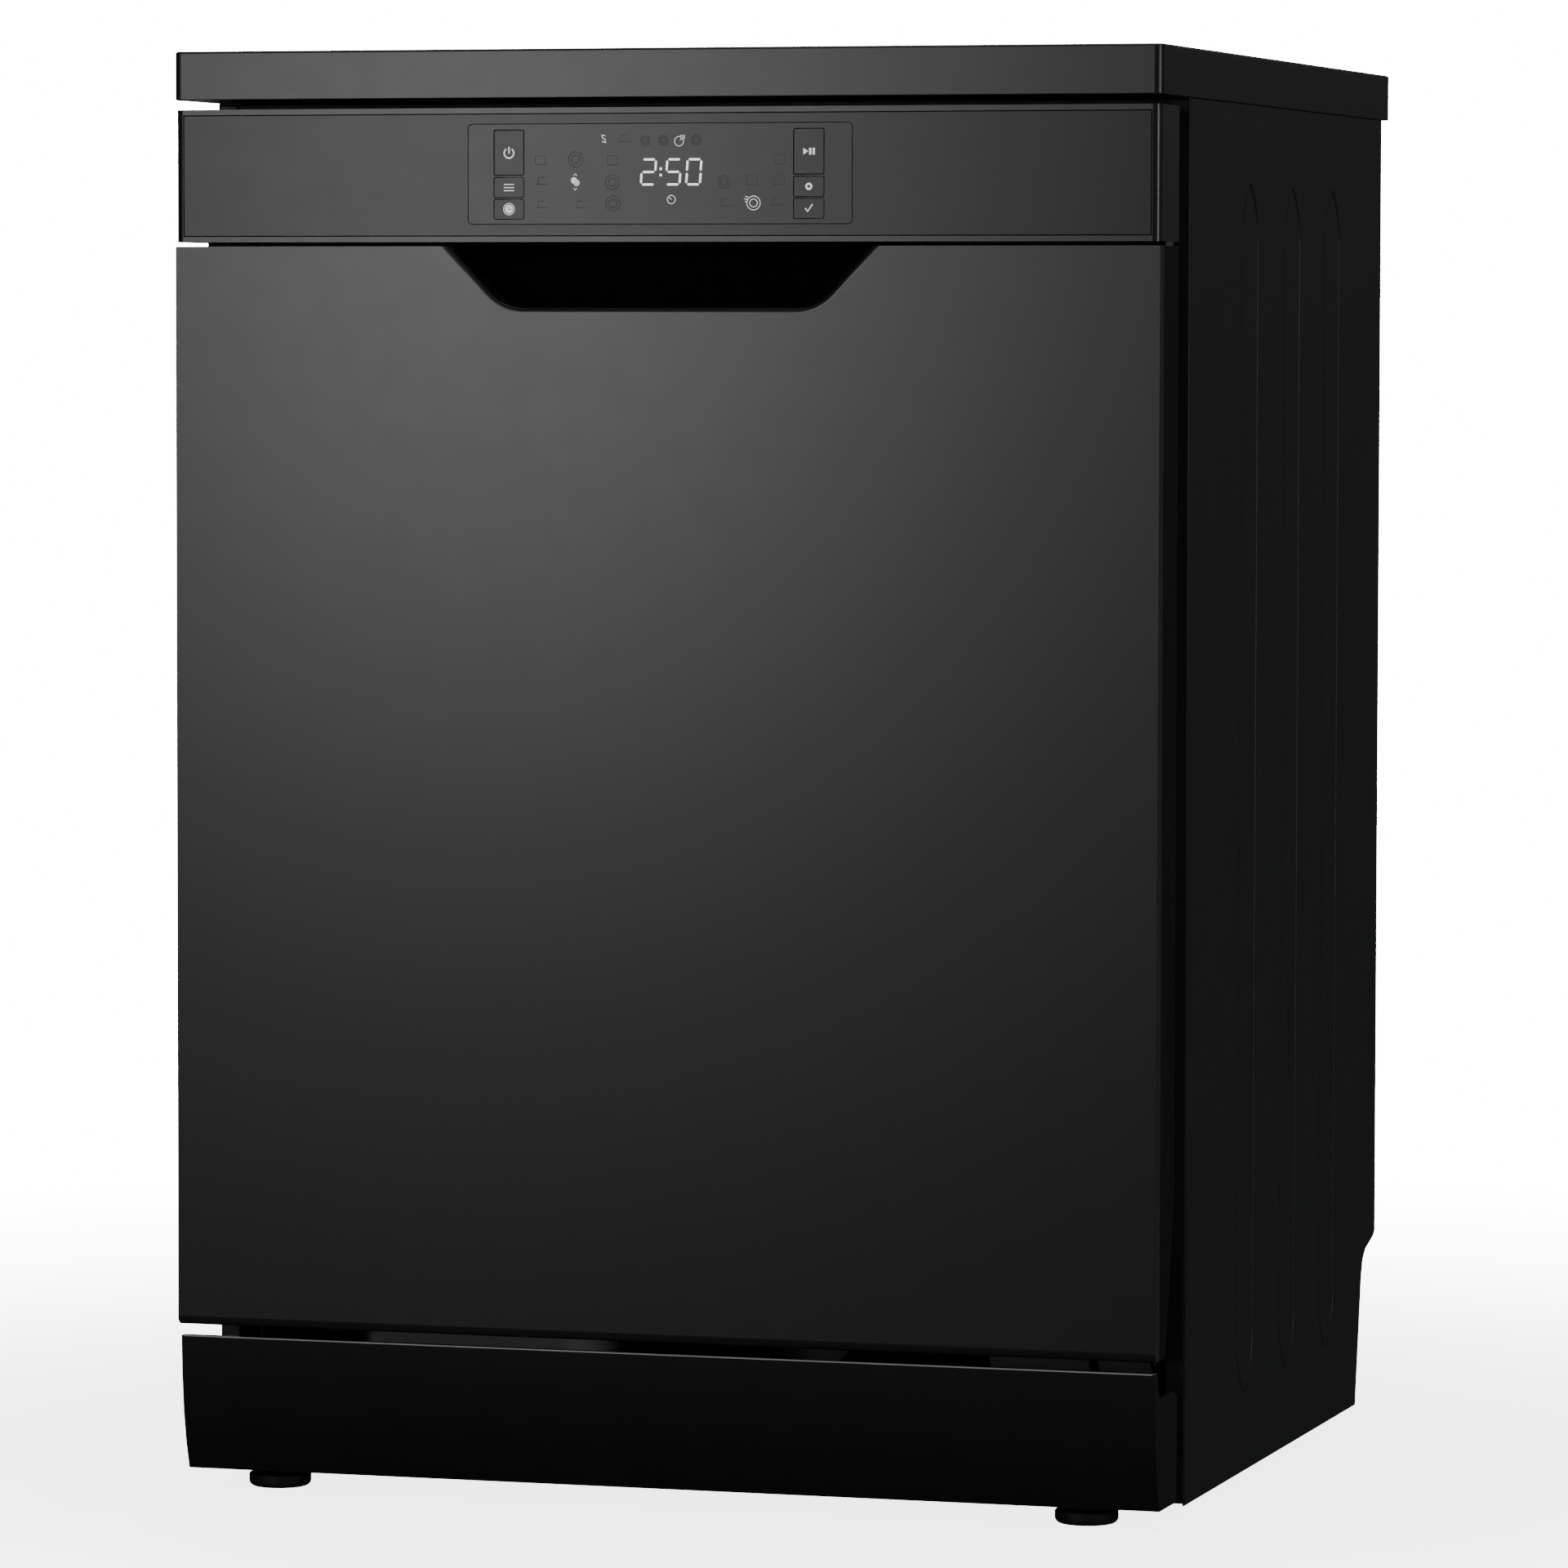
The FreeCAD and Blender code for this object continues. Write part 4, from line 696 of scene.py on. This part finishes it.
def add_fitting(name, low, high, axis, corner, edge, rack):
    """Small grey moulding clipped to a rack."""
    add_block(name, low, high, axis, corner, edge, "grey_plastic", rack, (rack,))


def make_handle(rack, z):
    """Grip plate on the front of a rack, with an opening for the fingers."""
    name = rack + "_handle"
    mesh = rounded_block(name, (-0.070, RACK_FRONT - 0.003, z - 0.020), (0.070, RACK_FRONT, z + 0.008),
                         "y", 0.008, 0.0007)
    piece = add_piece(name, mesh, "grey_plastic", rack, (rack,))
    hole = rounded_block("hole", (-0.048, RACK_FRONT - 0.01, z - 0.012),
                         (0.048, RACK_FRONT + 0.01, z + 0.001), "y", 0.006, 0.0001)
    cut_with(piece, hole)
    smooth_by_angle(piece.data, 50.0)
    keep_flat(piece)


def make_lower_rack():
    groups = basket_groups(LOWER["half"], LOWER["floor"], LOWER["rim"], 0.262)
    ys = spread(*TINE_ENDS, TINES)
    for x in (-0.150, -0.060):
        groups.append((tine_paths(x, LOWER["floor"] + WIRE_D, 0.092, ys), WIRE_R, False))
    add_wires("lower_rack_wires", groups, "rack_coat", "lower_rack")
    make_handle("lower_rack", LOWER["rim"])
    for label, y in (("front", -0.186), ("rear", 0.206)):
        add_fitting("tine_clip_" + label, (0.035, y - 0.003, 0.2062), (0.045, y + 0.003, 0.2215),
                    "y", 0.003, 0.0006, "lower_rack")
    for label, y in (("front", -0.120), ("rear", 0.170)):
        for sign in (-1, 1):
            x0, x1 = sorted((sign * 0.250, sign * 0.258))
            place = "%s_%s" % (label, "left" if sign < 0 else "right")
            add_fitting("wheel_hanger_" + place, (x0, y - 0.014, 0.1653), (x1, y + 0.014, 0.234),
                        "x", 0.009, 0.0012, "lower_rack")
            axle = [([[Vector((sign * 0.257, y, AXLE_Z)), Vector((sign * 0.2715, y, AXLE_Z))]], 0.003, False),
                    ([[Vector((sign * 0.2715, y, AXLE_Z)), Vector((sign * 0.273, y, AXLE_Z))]], 0.0048,
                     False)]
            add_wires("wheel_axle_" + place, axle, "grey_plastic", "lower_rack")


def make_fold_tines():
    paths = tine_paths(0.040, 0.2165, 0.092, spread(*TINE_ENDS, TINES), tail=0.022)
    add_wires("fold_tine_wires", [(paths, WIRE_R, False)], "rack_coat", "fold_tines")


def make_upper_rack():
    groups = basket_groups(UPPER["half"], UPPER["floor"], UPPER["rim"], 0.574)
    ys = spread(-0.165, 0.185, TINES)
    for x in (-0.080, 0.080):
        groups.append((tine_paths(x, UPPER["floor"] + WIRE_D, 0.058, ys), WIRE_R, False))
    add_wires("upper_rack_wires", groups, "rack_coat", "upper_rack")
    make_handle("upper_rack", UPPER["rim"])
    for label, y in (("front", -0.150), ("rear", 0.150)):
        for sign in (-1, 1):
            x0, x1 = sorted((sign * 0.2575, sign * 0.2626))
            place = "%s_%s" % (label, "left" if sign < 0 else "right")
            add_fitting("side_block_" + place, (x0, y - 0.025, 0.560), (x1, y + 0.025, 0.610),
                        "x", 0.006, 0.001, "upper_rack")
        x, z = -0.246, 0.652
        add_fitting("shelf_post_" + label, (x - 0.013, y - 0.004, 0.6252), (x - 0.0077, y + 0.004, z + 0.005),
                    "y", 0.0015, 0.0005, "upper_rack")
        add_fitting("shelf_hook_" + label, (x - 0.0085, y - 0.004, z - 0.003),
                    (x + 0.002, y + 0.004, z + 0.003),
                    "y", 0.002, 0.0005, "upper_rack")
        pin = [([[Vector((x, y - 0.008, z)), Vector((x, y + 0.008, z))]], 0.003, False)]
        add_wires("shelf_pin_" + label, pin, "grey_plastic", "upper_rack")
    y = 0.013
    feed = [([rounded_path([(0, 0.241, 0.500), (0, y, 0.500), (0, y, 0.480)], 0.010)], 0.007, False),
            ([[Vector((0, y, 0.4884)), Vector((0, y, 0.5073))]], 0.0118, False),
            ([[Vector((0, y, 0.470)), Vector((0, y, 0.490))]], 0.00894, False),
            ([[Vector((0, y, 0.467)), Vector((0, y, 0.4706))]], 0.013, False)]
    add_wires("upper_feed_tube", feed, "grey_plastic", "upper_rack")


# ---- seal and springs ----------------------------------------------------------------
GASKET_LOW = 0.1645


def gasket_path(half, y, top, corner):
    """Up one side of the tub's opening, over its top and down the other side."""
    return rounded_path([(-half, y, GASKET_LOW), (-half, y, top), (half, y, top), (half, y, GASKET_LOW)],
                        corner, steps=6)


def make_gasket():
    bulb = gasket_path(0.2849, -0.2412, 0.7905, 0.010)
    lip = gasket_path(0.2877, -0.2396, 0.7928, 0.011)
    mesh = wire_mesh("gasket_bulb", [([bulb], 0.0031, False), ([lip], 0.0015, False)])
    add_piece("gasket_bulb", mesh, "seal_rubber", "cabinet", ("door_gasket",))


def make_springs():
    turns, per_turn = 27, 12
    for label, sign in (("left", -1), ("right", 1)):
        x, z = sign * SPRING_X, 0.034
        coil = []
        for k in range(turns * per_turn + 1):
            angle = 2 * math.pi * k / per_turn
            along = -0.140 + 0.076 * k / (turns * per_turn)
            coil.append(Vector((x + 0.0058 * math.cos(angle), along, z + 0.0058 * math.sin(angle))))
        tail = [Vector((x + 0.0058, -0.064, z)), Vector((x, -0.061, z)), Vector((x, -0.057, z))]
        rope = [Vector((x + 0.0058, -0.140, z)), Vector((x, -0.1435, z + 0.001)), Vector((x, -0.236, 0.116))]
        mesh = wire_mesh("spring_" + label, [([coil + tail[1:]], 0.0011, False), ([rope], 0.0011, False)])
        add_piece("spring_" + label, mesh, "spring_steel", "cabinet", ("balance_springs",))
        add_block("spring_anchor_" + label, (x - 0.005, -0.063, 0.017), (x + 0.005, -0.056, 0.042),
                  "y", 0.0025, 0.0006, "zinc_steel", "cabinet", ("balance_springs",))


def make_kick_highlight_bead():
    """Fine light-grey bead along the top front edge of the kickplate: a painted highlight for the edge's
    glint.
    """
    low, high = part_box("kickplate")
    y, z = low[1] + 0.0003, high[2] - 0.0003
    path = rounded_path([(low[0] + 0.0006, y + 0.004, z), (low[0] + 0.0006, y, z), (high[0] - 0.0006, y, z),
                         (high[0] - 0.0006, y + 0.004, z)], 0.0022)
    mesh = wire_mesh("kick_highlight_bead", [([path], 0.0005, False)])
    add_piece("kick_highlight_bead", mesh, "kick_painted_highlight", "cabinet")


# ---- display and symbols -------------------------------------------------------------
PRINT_Y = FACE_Y - 0.00002


def arc(x, z, radius, start=0.0, end=360.0, steps=24):
    """Points on an arc in the plane of the display; degrees anticlockwise from the right."""
    points = []
    for k in range(steps + 1):
        angle = math.radians(start + (end - start) * k / steps)
        points.append((x + radius * math.cos(angle), z + radius * math.sin(angle)))
    return points


def on_face(points, y):
    """Millimetre points in X and Z, put on a plane in front of the glass."""
    return [Vector((x * MM, y, z * MM)) for x, z in points]


def add_lines(name, strokes, width, material, body="door", y=PRINT_Y):
    """Printed lines of a width in millimetres, standing a hair proud of the glass."""
    paths = [on_face(stroke, 0.0) for stroke in strokes]
    mesh = wire_mesh(name, [(paths, width * MM / 2, False)])
    for vert in mesh.vertices:
        vert.co.y = y + vert.co.y * 0.25
    return add_piece(name, mesh, material, body)


def add_shapes(name, outlines, material, body="door", y=PRINT_Y):
    """Flat printed areas from closed outlines in millimetres."""
    build = bmesh.new()
    for outline in outlines:
        points = [(x * MM, z * MM) for x, z in outline]
        part = prism_mesh(name, points, "y", y - 0.00006, y + 0.00006)
        build.from_mesh(part)
        bpy.data.meshes.remove(part)
    mesh = bpy.data.meshes.new(name)
    build.to_mesh(mesh)
    build.free()
    return add_piece(name, mesh, material, body)


SEGMENTS = {"a": ((0, 2), (1, 2)), "b": ((1, 2), (1, 1)), "c": ((1, 1), (1, 0)), "d": ((0, 0), (1, 0)),
            "e": ((0, 1), (0, 0)), "f": ((0, 2), (0, 1)), "g": ((0, 1), (1, 1))}
DIGITS = {"2": "abged", "5": "afgcd", "0": "abcdef"}


def segment(start, end, lean):
    """Slim six-sided bar between two corners of a digit."""
    a, b = Vector(start), Vector(end)
    way = (b - a).normalized()
    across = Vector((-way.y, way.x)) * 0.62
    a, b = a + way * 0.55, b - way * 0.55
    points = [a, a + way * 0.6 + across, b - way * 0.6 + across,
              b, b - way * 0.6 - across, a + way * 0.6 - across]
    return [(p.x + (p.y - 778.4) * lean, p.y) for p in points]


def make_time():
    outlines = []
    low, half, width, lean = 771.2, 7.2, 8.3, 0.06
    for digit, x in (("2", -10.4), ("5", 4.7), ("0", 17.0)):
        for name in DIGITS[digit]:
            (ax, az), (bx, bz) = SEGMENTS[name]
            outlines.append(segment((x + ax * width, low + az * half), (x + bx * width, low + bz * half),
                                    lean))
    for z in (780.2, 776.6):
        outlines.append(arc(1.2, z, 0.8, steps=16)[:-1])
    add_shapes("time_digits", outlines, "segment_white")


def make_lit_icons():
    salt = [arc(-33.4, 798.7, 1.0, 20, 270, 14), arc(-33.4, 796.7, 1.0, 90, -160, 14),
            [(-34.9, 799.9), (-34.0, 799.5)], [(-32.8, 795.6), (-31.9, 795.3)]]
    drying = [arc(12.2, 796.0, 2.7, 75, 380, 26)]
    for shift in (0.0, 1.05, 2.1):
        x = 13.0 + shift
        drying.append([(x, 796.6 + shift * 0.3), (x + 0.5, 797.6 + shift * 0.3), (x, 798.6),
                       (x + 0.5, 799.6)])
    clock = [arc(7.6, 762.5, 2.4), [(7.6, 762.5), (6.3, 763.8)]]
    dish = [arc(57.1, 760.4, 4.0), arc(57.1, 760.4, 2.3), [(51.4, 762.9), (53.4, 762.4)],
            [(52.2, 764.4), (53.9, 763.6)],
            [(52.0, 761.2), (53.2, 761.2)]]
    arrows = [[(-51.6, 776.4), (-50.7, 777.6), (-49.8, 776.4)],
              [(-51.6, 769.2), (-50.7, 768.0), (-49.8, 769.2)]]
    add_lines("lit_lines", salt + drying + clock + dish + arrows, 0.42, "backlit_and_painted_glow_white")
    add_shapes("lit_shapes", [arc(-51.5, 773.7, 1.8, steps=18)[:-1]], "backlit_and_painted_glow_white")
    add_shapes("lit_shapes_front", [arc(-49.9, 772.3, 1.8, steps=18)[:-1]], "backlit_and_painted_glow_white",
               y=PRINT_Y - 0.00003)
    add_lines("lit_gap", [arc(-49.9, 772.3, 1.0, steps=14)], 0.3, "display_black", y=PRINT_Y - 0.0001)


def make_ghost_icons():
    """Unlit programme symbols, hardly visible under the dark film."""
    strokes = []
    for x, z in ((-72, 785.4), (-28, 785.2), (72.5, 785.4), (72.5, 773.4), (56, 773.5)):
        strokes.append([(x - 3, z - 2.6), (x + 3, z - 2.6), (x + 3, z + 2.6), (x - 3, z + 2.6),
                        (x - 3, z - 2.6)])
    for x, z, r in ((-50.5, 785.8, 4.4), (-28.1, 772.6, 4.2), (-27.8, 760.4, 4.4), (39.4, 772.6, 3.6),
                    (-8.0, 796.4, 2.8),
                    (2.8, 796.6, 2.8), (22.6, 796.6, 2.8)):
        strokes += [arc(x, z, r), arc(x, z, r * 0.55)]
    for x, z in ((-71, 773.2), (-71, 759.6), (-47.5, 759.6), (40.2, 760.4), (71, 760.6), (-21, 797.6)):
        strokes += [[(x - 3.6, z - 1.6), (x + 3.6, z - 1.6)],
                    [(x - 2.2, z - 1.6), (x - 2.2, z + 2.2), (x + 1.4, z + 2.2)]]
    add_lines("ghost_lines", strokes, 0.5, "ghost_print", y=FACE_Y + 0.00003)


def make_button_symbols():
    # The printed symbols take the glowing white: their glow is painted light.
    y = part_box("power_button")[0][1] - 0.00002
    left, right = -91.2, 90.2
    power = [arc(left, 789.6, 2.9, 125, 415, 26), [(left, 789.4), (left, 793.2)]]
    add_lines("power_symbol", power, 0.85, "backlit_and_painted_glow_white", "power_button", y)
    lines = [[(left - 3.1, z), (left + 3.1, z)] for z in (767.9, 769.7, 771.5)]
    add_lines("menu_symbol", lines, 0.55, "backlit_and_painted_glow_white", "menu_button", y)
    add_shapes("delay_face", [arc(left, 757.2, 2.5, steps=28)[:-1]], "backlit_and_painted_glow_white", "delay_button",
               y)
    add_lines("delay_ring", [arc(left, 757.2, 3.3)], 0.4, "backlit_and_painted_glow_white", "delay_button", y)
    hands = [[(left, 759.0), (left, 757.0), (left + 1.5, 757.0)]]
    add_lines("delay_hands", hands, 0.5, "button_black", "delay_button", y - 0.00012)
    play = [[(right - 3.3, 788.0), (right - 0.4, 789.9), (right - 3.3, 791.8)],
            [(right + 0.2, 788.0), (right + 1.5, 788.0), (right + 1.5, 791.8), (right + 0.2, 791.8)],
            [(right + 2.3, 788.0), (right + 3.6, 788.0), (right + 3.6, 791.8), (right + 2.3, 791.8)]]
    add_shapes("start_symbol", play, "backlit_and_painted_glow_white", "start_button", y)
    add_lines("option_symbol", [arc(right, 769.8, 1.5)], 1.2, "backlit_and_painted_glow_white", "option_button",
              y)
    tick = [[(right - 2.1, 757.3), (right - 0.7, 755.4), (right + 2.2, 759.6)]]
    add_lines("confirm_symbol", tick, 0.8, "backlit_and_painted_glow_white", "confirm_button", y)


# ---- softened CAD nodes --------------------------------------------------------------
SOFTENED = {
    "worktop": 0.0006, "kickplate": 0.0006, "console_housing": 0.0005, "console_fascia": 0.00025,
            "display_window": 0.00025,
    "power_button": 0.0004, "menu_button": 0.0004, "delay_button": 0.0004,
    "start_button": 0.0004, "option_button": 0.0004, "confirm_button": 0.0004,
    "foot_front_left": 0.0006, "foot_front_right": 0.0006, "feet_rear": 0.0006,
    "door_liner": 0.0004, "dispenser_body": 0.001, "dispenser_lid": 0.0008, "rinse_aid_cap": 0.0008,
    "door_latch": 0.0008, "door_strike": 0.0005, "hinge_arms": 0.0005, "hinge_brackets": 0.0005,
    "rear_panel": 0.0003, "rear_screws": 0.0003, "top_crossbars": 0.0003, "base_tray": 0.0008,
            "circulation_pump": 0.0015,
    "drain_pump": 0.0015, "water_softener": 0.0012, "inlet_valve": 0.0008, "drain_spigot": 0.0006,
            "terminal_box": 0.0012,
    "sump": 0.0008, "filter_cup": 0.0008, "filter_plate": 0.0003, "salt_cap": 0.0008,
    "lower_spray_arm": 0.0014, "upper_spray_arm": 0.0014, "spray_feed_pipe": 0.0012,
    "upper_rails": 0.0005, "upper_runners": 0.0008, "wheels_front": 0.0008, "wheels_rear": 0.0008,
    "tub_wrapper": 0.0003, "tub_rear_wall": 0.0003,
    "tub_floor": 0.0004, "tub_front_frame": 0.0006, "air_breaker": 0.0012, "sound_insulation": 0.0015,
            "control_board": 0.0003,
}
# The top crossbars take the black kick finish in place of bare zinc, so the gap above the door reads dark:
# painted shade.
FINISH_OF = {"kickplate": "kick_black", "console_housing": "console_black", "console_fascia": "fascia_black",
             "top_crossbars": "kick_black", "hinge_brackets": "kick_black"}


def finish_kept_nodes():
    """Pierced mouldings keep their CAD shape and take a detailed material."""
    for node in ("cutlery_basket", "cup_shelf"):
        for slot in NODES[node].material_slots:
            slot.material = MATERIALS[SLOT_OF[node]]


def soften_nodes():
    for node, radius in SOFTENED.items():
        piece = soften(node, radius, FINISH_OF.get(node))
        keep_flat(piece)
        if node in SECOND_FINISH:
            material, test = SECOND_FINISH[node]
            repaint(piece, material, test)


def repaint(piece, material, test):
    """Give the faces that pass a test on their middle and normal a second finish."""
    piece.data.materials.append(MATERIALS[material])
    for face in piece.data.polygons:
        if test(face.center, face.normal):
            face.material_index = 1


def is_cup_or_groove(middle, normal):
    """Finger cup under the console, and the groove that the fascia sits in: painted shade, near-black over
    the cup's black plastic.
    """
    groove = abs(middle.y - FACE_Y - 0.002) < 2e-4 and normal.y < -0.9
    return middle.z < 0.7381 or groove


def is_liner_back(middle, normal):
    """Inside of the door liner, which carries a damping pad."""
    return normal.y < -0.5


def is_worktop_side(middle, normal):
    """Ends of the worktop, in a duller, darker finish than its front: painted shade."""
    return abs(normal.x) > 0.95


# Second finishes by face: painted shade in the finger cup and fascia groove, the damping pad inside the door
# liner, and painted shade on the worktop's ends.
SECOND_FINISH = {"console_housing": ("painted_shade_black", is_cup_or_groove), "door_liner": ("felt", is_liner_back),
                 "worktop": ("black_enamel", is_worktop_side)}


# ---- floor ---------------------------------------------------------------------------
def make_floor():
    """Pale studio floor that fades into the white backdrop away from the machine."""
    mesh = bpy.data.meshes.new("floor")
    mesh.from_pydata([(-9, -9, 0), (9, -9, 0), (9, 9, 0), (-9, 9, 0)], [], [(0, 1, 2, 3)])
    floor = bpy.data.objects.new("floor", mesh)
    bpy.context.scene.collection.objects.link(floor)
    floor.location.z = -0.0002
    material = finish("floor_paper", (0.86, 0.86, 0.86), 0.7, mottle=0.01, grain=300)
    tree = material.node_tree
    shader = tree.nodes["Principled BSDF"]
    coords = tree.nodes.new("ShaderNodeTexCoord")
    length = tree.nodes.new("ShaderNodeVectorMath")
    length.operation = "LENGTH"
    tree.links.new(coords.outputs["Object"], length.inputs[0])
    fade = tree.nodes.new("ShaderNodeMapRange")
    fade.interpolation_type = "SMOOTHSTEP"
    fade.inputs["From Min"].default_value = 0.4
    fade.inputs["From Max"].default_value = 2.2
    fade.inputs["To Min"].default_value = 4.0
    fade.inputs["To Max"].default_value = 20.0
    tree.links.new(length.outputs["Value"], fade.inputs["Value"])
    path = tree.nodes.new("ShaderNodeLightPath")
    glow = tree.nodes.new("ShaderNodeMath")
    glow.operation = "MULTIPLY"
    tree.links.new(fade.outputs["Result"], glow.inputs[0])
    tree.links.new(path.outputs["Is Camera Ray"], glow.inputs[1])
    shader.inputs["Emission Color"].default_value = (1, 1, 1, 1)
    tree.links.new(glow.outputs["Value"], shader.inputs["Emission Strength"])
    mesh.materials.append(material)
    floor.visible_glossy = False


add_camera()
add_lights()
set_world()
make_floor()
make_door_skin()
make_door_returns()
make_side_panel("side_panel_left", -1)
make_side_panel("side_panel_right", 1)
make_lower_rack()
make_fold_tines()
make_upper_rack()
make_gasket()
make_springs()
make_kick_highlight_bead()
make_time()
make_lit_icons()
make_ghost_icons()
make_button_symbols()
soften_nodes()
finish_kept_nodes()
